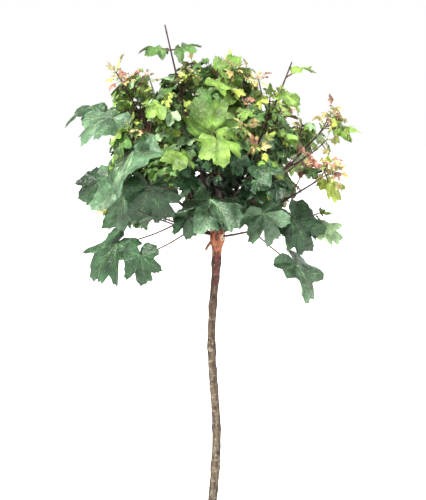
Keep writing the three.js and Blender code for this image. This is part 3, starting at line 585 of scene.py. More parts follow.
def growLeaves(mass):
    # pairs of leaves stand along each shoot and twig, each pair turned a quarter from the last
    leafyTo = limbs[mass["name"]].get("leafyTo", 1)
    balls = np.vstack([limbAndMarkedBalls] + [ballsAlong(axis) for axis in mass["axes"][1:]])
    blades = list(markedBlades)
    for a, axis in enumerate(mass["axes"]):
        pairs = max(1, math.floor(lengthOf(axis) / leaf["pairSpacing"] + 0.5))
        for p in range(pairs):
            share = (leafyTo if a == 0 else 1) * (p + leaf["firstPair"]) / (pairs + leaf["lastPair"])
            for side in (0, 1):
                place = (mass["index"] + 1) * seeds["twig"] + a * seeds["axis"] + p
                draw = drawFrom(place * seeds["side"] + side + seeds["leaf"])
                around = leaf["pairTurn"] * p + 180 * side + leaf["firstTurn"]
                one = fittingLeaf(mass, axis, share, around, balls, blades, draw)
                if one:
                    one["axis"] = a
                    mass["leaves"].append(one)
                    blades.append(one["blade"])
                    balls = np.vstack([balls, ballsAlong(one["stalk"])])
    mass["balls"], mass["blades"] = balls, blades


def allOf(key):
    return [one for mass in masses for one in mass[key]]


for mass in masses:
    growTwigs(mass)
for mass in masses:
    growLeaves(mass)
print("grown as in the solids:", len(allOf("leaves")), "leaves on", len(allOf("axes")), "axes")


# Finer growth: sprigs with smaller leaves between the first ones, young tufts at the tips, bare spurs

sprig = dict(
    spacing=10, angle=58, angleSpread=16, length=(74, 36), lengthSpread=0.4, radius=(0.9, 0.5), lift=0.12,
    steps=5, lineTries=3, lineShrink=0.75, onBough=(0.3, 1.0), pairs=(0.45, 0.92), turnSpread=40,
    leafSize=(56, 26), sizeSpread=0.4, tries=3, shrink=0.75, stalkShare=0.5, gap=0.1, seed=31000, rootFree=6,
    airy=dict(upperRight=0.45, middleRight=0.45, topRight=0.6),
)


def reachOf(mass):
    # how far the solid's own leaves and shoot go from the head
    ends = [axis["points"][-1] for axis in mass["axes"]] + [one["blade"]["points"] for one in mass["leaves"]]
    return max(np.linalg.norm(np.vstack(ends) - headCentre, axis=1))


def blocked(blades, points, radius, gap):
    # true where balls reach one of the nearby blades
    centre = points.mean(0)
    for blade in blades:
        if np.linalg.norm(blade["joint"] - centre) < space["blockReach"] * blade["size"] + space["blockMargin"]:
            if touchesBlade(blade, points, radius, gap).any():
                return True
    return False


def axisSeed(first, index, a):
    # each mass has room for ten axes, and each axis for a hundred seeds
    return first + seeds["finerMass"] * index + seeds["finerAxis"] * a


def growSprigs(mass):
    # a sprig leaves its axis every few millimetres at a golden turn, and its leaf pairs hang as the larger ones do
    plan, index, farthest = limbs[mass["name"]], mass["index"], reachOf(mass)
    mass["sprigs"], mass["sprigLeaves"] = [], []
    blades, balls = mass["blades"], mass["balls"]
    steps = np.linspace(0, 1, sprig["steps"])[:, None]
    for a, axis in enumerate([boughs[index]] + mass["axes"]):
        first, last = sprig["onBough"] if a == 0 else (0, plan.get("leafyTo", 1) if a == 1 else 1)
        filled = sprig["airy"].get(mass["name"], 1) * lengthOf(axis) * (last - first)
        count = max(2, round(filled / sprig["spacing"]))
        for k in range(count):
            draw = drawFrom(axisSeed(sprig["seed"], index, a) + k)
            share = mix(first, last, (k + draw()) / count)
            root, ahead = pointOn(axis, share), directionOn(axis, share)
            turn = twig["goldenTurn"] * k + twig["turnSpread"] * draw()
            angle = sprig["angle"] + swing(draw, sprig["angleSpread"])
            outShare = 0 if a == 0 else share  # leaves grow smaller towards the tip of a shoot or twig
            fullReach = mix(*sprig["length"], outShare) * (1 + swing(draw, sprig["lengthSpread"]))
            for t in range(sprig["lineTries"]):
                way = leaving(ahead, turn + twig["goldenTurn"] * t, angle)
                reach = fullReach * sprig["lineShrink"] ** t
                line = root + way * steps * reach + up * sprig["lift"] * reach * steps ** 2
                grown = dict(points=line, widths=mix(*sprig["radius"], steps[:, 0]), outShare=outShare, axis=a)
                near = ballsAlong(grown)
                near = near[np.linalg.norm(near[:, :3] - root, axis=1) > sprig["rootFree"]]
                if (insideSpace(index, near[:, :3], 0).all()
                        and not blocked(blades, near[:, :3], near[:, 3], sprig["gap"])):
                    break
            else:
                continue
            leaves = []
            for p, place in enumerate(sprig["pairs"]):
                for side in (0, 1):
                    around = leaf["pairTurn"] * p + 180 * side + leaf["firstTurn"]
                    one = fittingSprigLeaf(mass, grown, place, around, balls, blades, farthest, draw)
                    if one:
                        leaves.append(one)
                        blades.append(one["blade"])
            if leaves:
                mass["sprigs"].append(grown)
                mass["sprigLeaves"] += leaves


def fittingSprigLeaf(mass, axis, share, around, balls, blades, farthest, draw):
    # the first try that is clear, each try smaller than the last
    floor, outShare = headCentre[2] + space["lowest"], axis["outShare"]
    for k in range(sprig["tries"]):
        size = mix(*sprig["leafSize"], outShare) * (1 + swing(draw, sprig["sizeSpread"])) * sprig["shrink"] ** k
        turn = around + swing(draw, sprig["turnSpread"])
        one = hangingLeaf(mass, axis, share, turn, size, sprig["stalkShare"] * size, outShare, draw)
        points = one["blade"]["points"]
        if ((points[:, 2] > floor).all() and (np.linalg.norm(points - headCentre, axis=1) < farthest).all()
                and insideSpace(mass["index"], points, 0).all()
                and not hidesMarked(points) and not hidesShoots(points)
                and leafIsClear(one, balls, blades, sprig["gap"])):
            return dict(one, axis=axis["axis"])
    return None


# Young leaves at the tip of each shoot and twig, closer and more of them on the copper limbs.
young = dict(
    count=5, copperCount=10, fan=12, copperFan=6, size=(12, 24), sizeSpread=0.35, angle=34, angleSpread=20,
    stalkShare=0.4, droop=0.35, cup=-0.1, back=0.14, lastShare=0.995, freeFrom=0.9, gap=0.2, seed=52000,
)
copperLimbs = ("upperLeft", "upperRight", "middleRight", "topMiddle", "upperBackLeft", "upperBackRight")


def youngLeaf(root, joint, along, ahead, size, cup, **more):
    # a small leaf that faces the way its shoot goes
    return dict(blade=makeBlade(joint, along, ahead, size, cup), stalk=dict(points=np.array([root, joint])), **more)


def growYoung(mass):
    # young leaves stand round each tip and open outwards from it, in the shoot's own direction
    mass["youngLeaves"] = []
    for a, axis in enumerate(mass["axes"]):
        draw = drawFrom(axisSeed(young["seed"], mass["index"], a))
        last = limbs[mass["name"]].get("leafyTo", 1) if a == 0 else 1
        copper = a == 0 and mass["name"] in copperLimbs
        fan = young["copperFan" if copper else "fan"]
        for k in range(young["copperCount" if copper else "count"]):
            share = last * (1 - young["back"] * draw() * (k > 1))
            root = pointOn(axis, min(share, young["lastShare"]))
            ahead = directionOn(axis, min(share, young["lastShare"]))
            turn = twig["goldenTurn"] * k + 360 * draw()
            way = leaving(ahead, turn, young["angle"] + swing(draw, young["angleSpread"]) + fan * k)
            size = mix(*young["size"], draw()) * (1 + swing(draw, young["sizeSpread"]))
            joint = root + way * young["stalkShare"] * size
            one = youngLeaf(root, joint, way - up * young["droop"] * draw(), ahead, size, young["cup"], axis=a)
            points = one["blade"]["points"]
            outside = not insideCrown(points).all() and share < young["freeFrom"] * last
            if outside or hidesMarked(points) or (not copper and blocked(mass["blades"], points, 0.0, young["gap"])):
                continue
            mass["youngLeaves"].append(one)
            mass["blades"].append(one["blade"])


# Spurs: limb, share of its shoot, tip from the head, radius at foot and tip, and the look, number and size of the
# young leaves in the tuft at its tip. A spur with no tuft is cut.
spurs = [
    ("upperFrontRight", 0.1, (100, -62, 186), (3.3, 3.0), None),
    ("upperFrontLeft", 0.7, (-132, -60, 318), (1.6, 0.9), ("copper", 8, 13)),
    ("upperLeft", 0.5, (-134, -40, 252), (1.9, 1.6), None),
    ("topRight", 0.55, (79, -30, 315), (1.5, 0.9), ("copper", 10, 13)),
    ("topLeft", 0.55, (-48, -34, 326), (1.3, 0.8), ("straw", 7, 12)),
    ("topMiddle", 0.55, (36, -66, 292), (2.2, 1.9), None),
    ("upperLeft", 0.55, (-166, -44, 318), (1.8, 1.0), ("copper", 10, 14)),
    ("upperLeft", 0.8, (-186, -40, 312), (1.4, 0.8), ("copper", 9, 13)),
    ("topMiddle", 0.7, (34, -52, 330), (1.4, 0.8), ("amber", 10, 15)),
    ("topMiddle", 0.6, (58, -50, 322), (1.3, 0.8), ("straw", 8, 13)),
    ("upperFrontLeft", 0.45, (-170, -86, 216), (1.5, 0.8), ("lime", 13, 18)),
    ("upperFront", 0.7, (45, -152, 222), (1.4, 0.8), ("straw", 12, 16)),
    ("upperFrontRight", 0.6, (72, -146, 186), (1.4, 0.8), ("amber", 11, 18)),
    ("upperRight", 0.42, (214, -50, 196), (1.9, 1.0), ("bright", 7, 16)),
    ("upperRight", 0.8, (222, -30, 246), (1.5, 0.8), ("copper", 13, 17)),
    ("upperRight", 0.9, (242, -26, 236), (1.3, 0.8), ("amber", 9, 15)),
    ("middleRight", 0.85, (214, -64, 152), (1.4, 0.8), ("copper", 12, 16)),
    ("middleRight", 0.92, (226, -56, 132), (1.2, 0.8), ("straw", 8, 13)),
    ("topBack", 0.6, (66, 120, 300), (2.0, 1.8), None),
    ("upperBackLeft", 0.5, (-60, 150, 250), (1.7, 1.0), ("copper", 10, 15)),
    ("upperBackRight", 0.7, (120, 178, 240), (1.6, 0.9), ("amber", 10, 15)),
]
tuft = dict(fan=70, turnSpread=40, depth=12, stalkShare=0.9, stalkLeast=0.5, stalkSag=0.2, droop=1.1, cup=0.1,
            seedStep=7)

tuftTints = dict(
    copper=dict(copper=0.5, amber=0.2, straw=0.16, lime=0.14),
    amber=dict(amber=0.4, copper=0.2, straw=0.2, lime=0.2),
    straw=dict(straw=0.6, amber=0.2, lime=0.2), lime=dict(lime=0.6, bright=0.25, straw=0.15),
    bright=dict(bright=0.7, lime=0.3),
)


def dealt(shares, number):
    # the tint whose share of 0 to 1 the number falls in
    total = 0
    for name, share in shares.items():
        total += share
        if number < total:
            return name
    return name


def spurEnds(limb, share, tip):
    # where a spur leaves its shoot, and its tip
    return pointOn(shoots[limbNames.index(limb)], share), headCentre + np.array(tip, float)


def growTuft(spur):
    # young leaves round the tip of a spur, each turned by the golden angle and leaning out further than the last
    limb, share, at, _, (look, count, leafSize) = spur
    foot, tip = spurEnds(limb, share, at)
    ahead = unit(tip - foot)
    draw = drawFrom(young["seed"] + tuft["seedStep"] * round(abs(at[0])) + count)
    for k in range(count):
        turn = twig["goldenTurn"] * k + tuft["turnSpread"] * draw()
        way = leaving(ahead, turn, young["angle"] + tuft["fan"] * k / count + swing(draw, young["angleSpread"]))
        size = leafSize * (1 + swing(draw, young["sizeSpread"]))
        root = tip - ahead * tuft["depth"] * k / count
        joint = root + (way - up * tuft["stalkSag"]) * tuft["stalkShare"] * size * (tuft["stalkLeast"] + draw())
        one = youngLeaf(root, joint, way - up * tuft["droop"] * draw(), ahead, size, tuft["cup"], axis=0)
        masses[limbNames.index(limb)]["youngLeaves"].append(dict(one, tint=dealt(tuftTints[look], draw())))


for mass in masses:
    growSprigs(mass)
for mass in masses:
    growYoung(mass)
for spur in spurs:
    if spur[-1]:
        growTuft(spur)
print("carried on:", len(allOf("sprigs")), "sprigs,", len(allOf("sprigLeaves")), "smaller leaves,",
      len(allOf("youngLeaves")), "young leaves")


# Meshes: grids of points, closed bodies, one object for each kind

nothing = np.zeros((0, 3))  # for a sheet whose faces use the points of the sheet before it


def makePiece(name, sheets, materials, replacing, sharp=40):
    # sheets are (points, faces, slot index, uv of each face corner), all in millimetres, joined to one mesh in metres
    points = np.vstack([sheet[0] for sheet in sheets]) * mm
    offsets = np.cumsum([0] + [len(sheet[0]) for sheet in sheets[:-1]])
    faces = [sheet[1] + offset for sheet, offset in zip(sheets, offsets)]
    sizes = np.concatenate([np.full(len(group), group.shape[1]) for group in faces])
    corners = np.concatenate([group.ravel() for group in faces])
    mesh = bpy.data.meshes.new(name)
    mesh.vertices.add(len(points))
    mesh.vertices.foreach_set("co", points.ravel())
    mesh.loops.add(len(corners))
    mesh.loops.foreach_set("vertex_index", corners.astype(np.int32))
    mesh.polygons.add(len(sizes))
    mesh.polygons.foreach_set("loop_start", np.concatenate([[0], np.cumsum(sizes)[:-1]]).astype(np.int32))
    indices = np.concatenate([np.full(len(sheet[1]), sheet[2]) for sheet in sheets])
    mesh.polygons.foreach_set("material_index", indices.astype(np.int32))
    mesh.polygons.foreach_set("use_smooth", np.ones(len(sizes), bool))
    for material in materials:
        mesh.materials.append(material)
    if all(sheet[3] is not None for sheet in sheets):
        layer = mesh.uv_layers.new(name="along")
        layer.data.foreach_set("uv", np.vstack([sheet[3].reshape(-1, 2) for sheet in sheets]).ravel())
    mesh.update(calc_edges=True)
    mesh.set_sharp_from_angle(angle=math.radians(sharp))
    piece = bpy.data.objects.new(name, mesh)
    bpy.context.scene.collection.objects.link(piece)
    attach(piece, "root")
    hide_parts(*replacing)


def gridFaces(rows, columns):
    # four-sided faces between neighbouring rows, wrapped round in the columns
    row, column = np.meshgrid(np.arange(rows - 1), np.arange(columns), indexing="ij")
    after = (column + 1) % columns
    here, beside = row * columns + column, row * columns + after
    return np.stack([here, beside, beside + columns, here + columns], -1).reshape(-1, 4)


def fanFaces(centre, ring):
    # three-sided faces from a middle point to a closed ring
    return np.stack([np.full(len(ring), centre), ring, np.roll(ring, -1)], -1)


def repeated(faces, count, pointCount):
    # the same faces for each of many like bodies
    return (faces[None] + (np.arange(count) * pointCount)[:, None, None]).reshape(-1, faces.shape[1])


tubeForm = dict(steepFrom=0.8, tipShare=0.6, mapPerMetre=10)


def tubes(paths, widths, sides):
    # a round profile carried along each path: middle + width times cosine and sine of the two directions across it
    paths, widths = np.asarray(paths, float), np.asarray(widths, float)
    count, steps, _ = paths.shape
    tangent = unit(np.gradient(paths, axis=1))
    chord = unit(paths[:, -1] - paths[:, 0])
    reference = np.where(np.abs(chord[:, 2:]) > tubeForm["steepFrom"], np.array([1.0, 0, 0]), up)[:, None]
    across = unit(np.cross(np.broadcast_to(reference, tangent.shape), tangent))
    other = np.cross(tangent, across)
    turn = 2 * math.pi * np.arange(sides) / sides
    ring = np.cos(turn)[:, None] * across[:, :, None] + np.sin(turn)[:, None] * other[:, :, None]
    rings = paths[:, :, None] + widths[:, :, None, None] * ring
    tips = paths[:, -1:] + tangent[:, -1:] * widths[:, -1:, None] * tubeForm["tipShare"]
    points = np.concatenate([rings.reshape(count, -1, 3), paths[:, :1], tips], 1)
    perBody = steps * sides + 2
    quads = gridFaces(steps, sides)
    first, last = np.arange(sides), np.arange(sides) + (steps - 1) * sides
    caps = np.vstack([fanFaces(steps * sides, first)[:, ::-1], fanFaces(steps * sides + 1, last)])
    along = np.concatenate([np.zeros((count, 1)), np.cumsum(np.linalg.norm(np.diff(paths, axis=1), axis=2), 1)], 1)
    row, column = np.meshgrid(np.arange(steps - 1), np.arange(sides), indexing="ij")
    row, column = row.ravel(), column.ravel()
    u = np.stack([column, column + 1, column + 1, column], -1) / sides
    v = np.stack([row, row, row + 1, row + 1], -1)
    quadUv = np.stack([np.broadcast_to(u, (count, *u.shape)), along[:, v] * mm * tubeForm["mapPerMetre"]], -1)
    capUv = np.zeros((count * len(caps), 3, 2))
    points = points.reshape(-1, 3)
    return [(points, repeated(quads, count, perBody), 0, quadUv.reshape(-1, 4, 2)),
            (nothing, repeated(caps, count, perBody) - len(points), 0, capUv)]


# Leaves: a blade is a fan of rings round its joint, out to a lobed rim, with an under sheet that shares the rim

leafShapes = dict(
    large=dict(
        half=[(0, 1.0), (4, 0.95), (8, 0.93), (12, 0.97), (15, 0.88), (19, 0.87), (22, 0.74), (25, 0.62),
              (29, 0.68), (33, 0.82), (37, 0.85), (41, 0.94), (45, 0.88), (50, 0.93), (54, 0.83), (60, 0.84),
              (65, 0.72), (72, 0.6), (79, 0.58), (85, 0.67), (92, 0.68), (98, 0.74), (105, 0.67), (112, 0.67),
              (120, 0.55), (132, 0.52), (145, 0.46), (158, 0.36), (170, 0.2)],
        rings=(0.2, 0.45, 0.7, 0.87, 1), underRings=(0.45, 0.8),
    ),
    plain=dict(
        half=[(0, 1.0), (6, 0.93), (12, 0.95), (18, 0.82), (24, 0.63), (32, 0.78), (41, 0.91), (50, 0.9),
              (57, 0.82), (66, 0.68), (76, 0.58), (88, 0.68), (101, 0.71), (114, 0.6), (132, 0.52),
              (152, 0.38), (170, 0.18)],
        rings=(0.35, 0.72, 1), underRings=(0.6,),
    ),
    small=dict(
        half=[(0, 1.0), (8, 0.9), (15, 0.9), (25, 0.62), (38, 0.86), (50, 0.86), (60, 0.76), (76, 0.56),
              (98, 0.68), (120, 0.5), (145, 0.4), (170, 0.15)],
        rings=(0.55, 1), underRings=(),
    ),
    young=dict(
        half=[(0, 1.05), (9, 0.84), (20, 0.62), (32, 0.44), (46, 0.7), (60, 0.48), (90, 0.3), (140, 0.16),
              (168, 0.07)],
        rings=(0.55, 1), underRings=(),
    ),
)

bladeForm = dict(
    notchReach=0.02, leastReach=0.01, pucker=0.1, puckerEnd=1.25, veinAngles=(0, 21, 42, 72, 103, 141, 180),
    swelling=(0, 1, 0, 1, 0, 1, 0.3), bend=0.42, bendSpread=0.34, bendFrom=0.6, curl=0.2, curlSpread=0.3,
    wave=0.14, waveCount=3, ripple=0.085, rippleCount=7, jag=0.07, jagCount=11, skew=0.12, depth=0.95,
    depthSpread=0.3, thickness=0.006, widthSpread=0.16, markedBend=0.8, seed=900,
)


def leafTemplate(plan):
    # rim angles all the way round, and the faces of the upper and under sheets
    half = np.array(plan["half"])
    angles = np.concatenate([half[:, 0], [180], -half[:0:-1, 0]])
    reach = np.concatenate([half[:, 1], [bladeForm["notchReach"]], half[:0:-1, 1]])
    count, rings, under = len(angles), len(plan["rings"]), len(plan["underRings"])
    ring = lambda k: 1 + k * count + np.arange(count)
    upper = [fanFaces(0, ring(0))]
    quads = [gridFaces(rings, count) + 1] if rings > 1 else []
    base = 1 + rings * count
    rim = ring(rings - 1)
    starts = [base + 1 + k * count + np.arange(count) for k in range(under)] + [rim]
    lower = [fanFaces(base, starts[0])[:, ::-1]]
    lowerQuads = [np.stack([starts[k], starts[k + 1], np.roll(starts[k + 1], -1), np.roll(starts[k], -1)], -1)
                  for k in range(under)]
    return dict(angles=np.radians(angles), reach=reach, count=count, pointCount=base + 1 + under * count,
                upper=upper + quads, lower=lower + lowerQuads, plan=plan)


templates = {name: leafTemplate(plan) for name, plan in leafShapes.items()}


def leafArrays(leaves):
    # a group's leaves as arrays, with each leaf's own seeded bend, curl, wave and unevenness
    rng = np.random.default_rng(bladeForm["seed"] + len(leaves))
    keys = ("joint", "along", "side", "face", "size", "cup")
    array = {key: np.array([one["blade"][key] for one in leaves]) for key in keys}
    spread = lambda: 2 * rng.random(len(leaves)) - 1
    firm = np.array([bladeForm["markedBend"] if one.get("marked") else 1 for one in leaves])
    array["bend"] = firm * (bladeForm["bend"] + bladeForm["bendSpread"] * spread())
    array["curl"] = firm * (bladeForm["curl"] + bladeForm["curlSpread"] * spread())
    array["phase"] = math.pi * spread()
    array["skew"] = bladeForm["skew"] * spread()
    array["depth"] = bladeForm["depth"] + bladeForm["depthSpread"] * spread()
    array["width"] = 1 + bladeForm["widthSpread"] * spread()
    return array


def bladePoints(group, angles, shares, reach, lower=0.0):
    # out = share of the lobed reach. The sheet falls as a cone from the joint, swells between the main veins,
    # arches up and down again to the tip, curls by the square of the way across, and waves at its rim
    form = bladeForm
    take = lambda key: group[key][:, None]
    vector = lambda key: group[key][:, None, :]
    size, phase = take("size"), take("phase")
    uneven = 1 + take("skew") * np.sin(angles) + form["jag"] * np.sin(form["jagCount"] * angles + phase)
    shape = np.clip(reach, form["leastReach"], None) ** take("depth")
    out = size * shares * shape * uneven
    ahead, aside = out * np.cos(angles), out * np.sin(angles) * take("width")
    between = np.interp(np.abs(np.degrees(angles)), form["veinAngles"], form["swelling"])
    rise = -take("cup") * out + form["pucker"] * size * between * shares * (form["puckerEnd"] - shares)
    rise = rise - take("bend") * np.clip(ahead, 0, None) * (ahead / size - form["bendFrom"])
    rise = rise - take("curl") * aside ** 2 / size
    rise = rise + form["wave"] * size * shares ** 2 * np.sin(form["waveCount"] * angles + phase)
    rise = rise + form["ripple"] * size * shares ** 3 * np.sin(form["rippleCount"] * angles - 2 * phase)
    rise = rise - lower
    return (vector("joint") + ahead[..., None] * vector("along") + aside[..., None] * vector("side")
            + rise[..., None] * vector("face"))


def bladeSheets(leaves, kind):
    # the closed bodies of a group's blades: upper faces take the first colour and under faces the second
    template, group = templates[kind], leafArrays(leaves)
    plan, count = template["plan"], template["count"]
    angles, reach = template["angles"], template["reach"]
    flat = lambda shares: (np.tile(angles, len(shares)), np.repeat(shares, count), np.tile(reach, len(shares)))
    upper = bladePoints(group, *flat(plan["rings"]))
    thickness = (bladeForm["thickness"] * group["size"])[:, None]
    middle = lambda lower: bladePoints(group, np.zeros(1), np.zeros(1), np.ones(1), lower)
    parts = [middle(0.0), upper, middle(thickness)]
    if plan["underRings"]:
        parts.append(bladePoints(group, *flat(plan["underRings"]), thickness))
    points = np.concatenate(parts, 1)
    total = points.reshape(-1, 3)
    sheets, first = [], True
    for index, groups in enumerate((template["upper"], template["lower"])):
        for faces in groups:
            whole = repeated(faces, len(leaves), template["pointCount"])
            sheets.append((total if first else nothing, whole if first else whole - len(total), index, None))
            first = False
    return sheets


veinPlan = dict(
    mains=(0, 42, -42, 103, -103), mainShares=(0.0, 0.2, 0.45, 0.7, 0.92), width=0.022, tipWidth=0.006,
    rise=0.008, tipRise=0.4, forks=((0.22, 15), (0.4, 12), (0.58, 8)), forkSteps=(0, 0.55, 1), forkLength=0.3,
    forkWidth=0.01, forkLimit=0.94, sink=0.003,
)


def veinStrips(group, angles, shares, reach, startWidth, endWidth):
    # a three-sided ridge carried along points of the sheet, narrowing to its end
    path = bladePoints(group, angles, shares, reach, 0.0)
    size = group["size"][:, None, None]
    face = group["face"][:, None, :]
    tangent = unit(np.gradient(path, axis=1))
    across = unit(np.cross(face, tangent))
    width = np.linspace(startWidth, endWidth, len(angles))[None, :, None] * size / 2
    sink = face * size * veinPlan["sink"]
    ridge = path + face * size * veinPlan["rise"] * np.linspace(1, veinPlan["tipRise"], len(angles))[None, :, None]
    rows = np.stack([path - across * width - sink, path + across * width - sink, ridge], 2)
    steps = len(angles)
    quads = gridFaces(steps, 3)
    caps = np.array([[2, 1, 0], [3 * steps - 3, 3 * steps - 2, 3 * steps - 1]])
    count = len(path)
    points = rows.reshape(-1, 3)
    return [(points, repeated(quads, count, steps * 3), 0, None),
            (nothing, repeated(caps, count, steps * 3) - len(points), 0, None)]


def reachOn(kind, degrees):
    half = np.array(leafShapes[kind]["half"])
    return np.interp(np.abs(degrees), half[:, 0], half[:, 1])


def veinSheets(leaves, kind, forks):
    # five main veins out of the joint, and on the large leaves pairs of side veins forking off each
    group, sheets = leafArrays(leaves), []
    for main in veinPlan["mains"]:
        shares = np.array(veinPlan["mainShares"])
        angles = np.full(len(shares), math.radians(main))
        reach = np.full(len(shares), reachOn(kind, main))
        sheets += veinStrips(group, angles, shares, reach, veinPlan["width"], veinPlan["tipWidth"])
        for start, turn in (veinPlan["forks"] if forks else ()):
            for side in (-1, 1):
                steps = np.array(veinPlan["forkSteps"])
                degrees = main + side * turn * steps
                lobe = reachOn(kind, degrees)
                ends = (start + veinPlan["forkLength"] * steps) * reachOn(kind, main) / lobe
                shares = np.clip(ends, 0, veinPlan["forkLimit"])
                sheets += veinStrips(group, np.radians(degrees), shares, lobe, veinPlan["forkWidth"],
                                     veinPlan["tipWidth"])
    return sheets


# Materials

def addNode(tree, kind, settings=None, **inputs):
    # a shader node with its settings and inputs, each input a number, a colour or another node's output
    made = tree.nodes.new(kind)
    for key, value in (settings or {}).items():
        setattr(made, key, value)
    for key, value in inputs.items():
        place = made.inputs[int(key[5:])] if key.startswith("input") else made.inputs[key]
        if isinstance(value, bpy.types.NodeSocket):
            tree.links.new(value, place)
        else:
            place.default_value = value
    return made


def linear(colour):
    # a colour of 0 to 255 as seen on a screen, as the linear numbers that shaders use
    c = np.array(colour, float) / 255
    return (*np.where(c <= 0.04045, c / 12.92, ((c + 0.055) / 1.055) ** 2.4), 1)


def startMaterial(name):
    material = bpy.data.materials.new(name)
    material.use_nodes = True
    tree = material.node_tree
    return material, tree, tree.nodes["Principled BSDF"]


def objectNoise(tree, scale, detail=3.0, rough=0.55, stretch=(1, 1, 1)):
    # noise on the piece's own coordinates, finer along the axes whose stretch is larger
    place = addNode(tree, "ShaderNodeTexCoord").outputs["Object"]
    scaled = addNode(tree, "ShaderNodeMapping", Vector=place, Scale=tuple(scale * s for s in stretch))
    return addNode(tree, "ShaderNodeTexNoise", Vector=scaled.outputs[0], Scale=1.0, Detail=detail, Roughness=rough)


def ramp(tree, value, stops):
    # a colour ramp: stops are (place, colour of 0 to 255)
    made = addNode(tree, "ShaderNodeValToRGB", Fac=value)
    band = made.color_ramp
    while len(band.elements) < len(stops):
        band.elements.new(0.5)
    for element, (place, colour) in zip(band.elements, stops):
        element.position = place
        element.color = linear(colour)
    return made.outputs["Color"]


def mixed(tree, share, first, second, how="MIX"):
    made = addNode(tree, "ShaderNodeMix", dict(data_type="RGBA", blend_type=how), input0=share, input6=first,
                   input7=second)
    return made.outputs[2]


def bumped(tree, shader, height, strength, distance):
    made = addNode(tree, "ShaderNodeBump", Height=height, Strength=strength, Distance=distance)
    tree.links.new(made.outputs[0], shader.inputs["Normal"])


# Leaf colour: soft patches of painted shade and painted highlight, fine mottling, and painted shade in the crumple's
# hollows.
leafLooks = dict(
    shadingPatchScale=28.0, shadingPatchDetail=2.0, shadingPatchPlaces=(0.32, 0.5, 0.68), paintedShadeShare=0.74, paintedLightShare=1.22, paintedLightLift=8,
    mottleScale=420.0, mottleDetail=4.0, mottle=[(0.3, (222, 222, 222)), (0.7, (255, 255, 255))], mottleShare=0.5,
    crumpleScale=95.0, crumpleWithShade=[(0.36, (176, 182, 174)), (0.62, (255, 255, 255))], crumpleShadeShare=0.55,
    bump=(0.8, 0.006), specular=0.45,
)


def leafMaterial(name, colour, roughness):
    # a plain tint with soft patches of painted shade and painted highlight, fine mottling, and painted shade in the
    # crumple's hollows
    material, tree, shader = startMaterial(name)
    look, shade = leafLooks, np.array(colour)
    # painted highlight: the lighter stop of the patches; the darker stop is painted shade
    light = np.clip(shade * look["paintedLightShare"] + look["paintedLightLift"], 0, 255)
    patches = objectNoise(tree, look["shadingPatchScale"], look["shadingPatchDetail"])
    stops = list(zip(look["shadingPatchPlaces"], (shade * look["paintedShadeShare"], shade, light)))
    tint = ramp(tree, patches.outputs["Fac"], stops)
    mottling = objectNoise(tree, look["mottleScale"], look["mottleDetail"])
    fine = ramp(tree, mottling.outputs["Fac"], look["mottle"])
    crumpleWithShade = objectNoise(tree, look["crumpleScale"])
    # painted shade: darker where the crumple's relief is low
    foldShade = ramp(tree, crumpleWithShade.outputs["Fac"], look["crumpleWithShade"])
    mottled = mixed(tree, look["mottleShare"], tint, fine, "MULTIPLY")
    tree.links.new(mixed(tree, look["crumpleShadeShare"], mottled, foldShade, "MULTIPLY"), shader.inputs["Base Color"])
    shader.inputs["Roughness"].default_value = roughness
    shader.inputs["Specular IOR Level"].default_value = look["specular"]
    bumped(tree, shader, crumpleWithShade.outputs["Fac"], *look["bump"])
    return material


barkLooks = dict(
    stretch=(9.0, 7.0, 1.0), streakDetail=4.0, streakRoughness=0.6, streakPlaces=(0.35, 0.56, 0.7),
    dotScale=500.0, dots=[(0.3, (120, 110, 105)), (0.7, (255, 255, 255))], dotShare=0.25, bump=(0.4, 0.0006),
)


def shootMaterial(name, dark, light, roughness=0.5):
    # streaks along the limb: noise on the limb's own map, stretched lengthwise, from the dark to the light tint
    material, tree, shader = startMaterial(name)
    look = barkLooks
    place = addNode(tree, "ShaderNodeUVMap", dict(uv_map="along")).outputs[0]
    scaled = addNode(tree, "ShaderNodeMapping", Vector=place, Scale=look["stretch"])
    streaks = addNode(tree, "ShaderNodeTexNoise", Vector=scaled.outputs[0], Scale=1.0, Detail=look["streakDetail"],
                      Roughness=look["streakRoughness"])
    tint = ramp(tree, streaks.outputs["Fac"], list(zip(look["streakPlaces"], (dark, dark, light))))
    dots = ramp(tree, objectNoise(tree, look["dotScale"]).outputs["Fac"], look["dots"])
    tree.links.new(mixed(tree, look["dotShare"], tint, dots, "MULTIPLY"), shader.inputs["Base Color"])
    shader.inputs["Roughness"].default_value = roughness
    bumped(tree, shader, streaks.outputs["Fac"], *look["bump"])
    return material
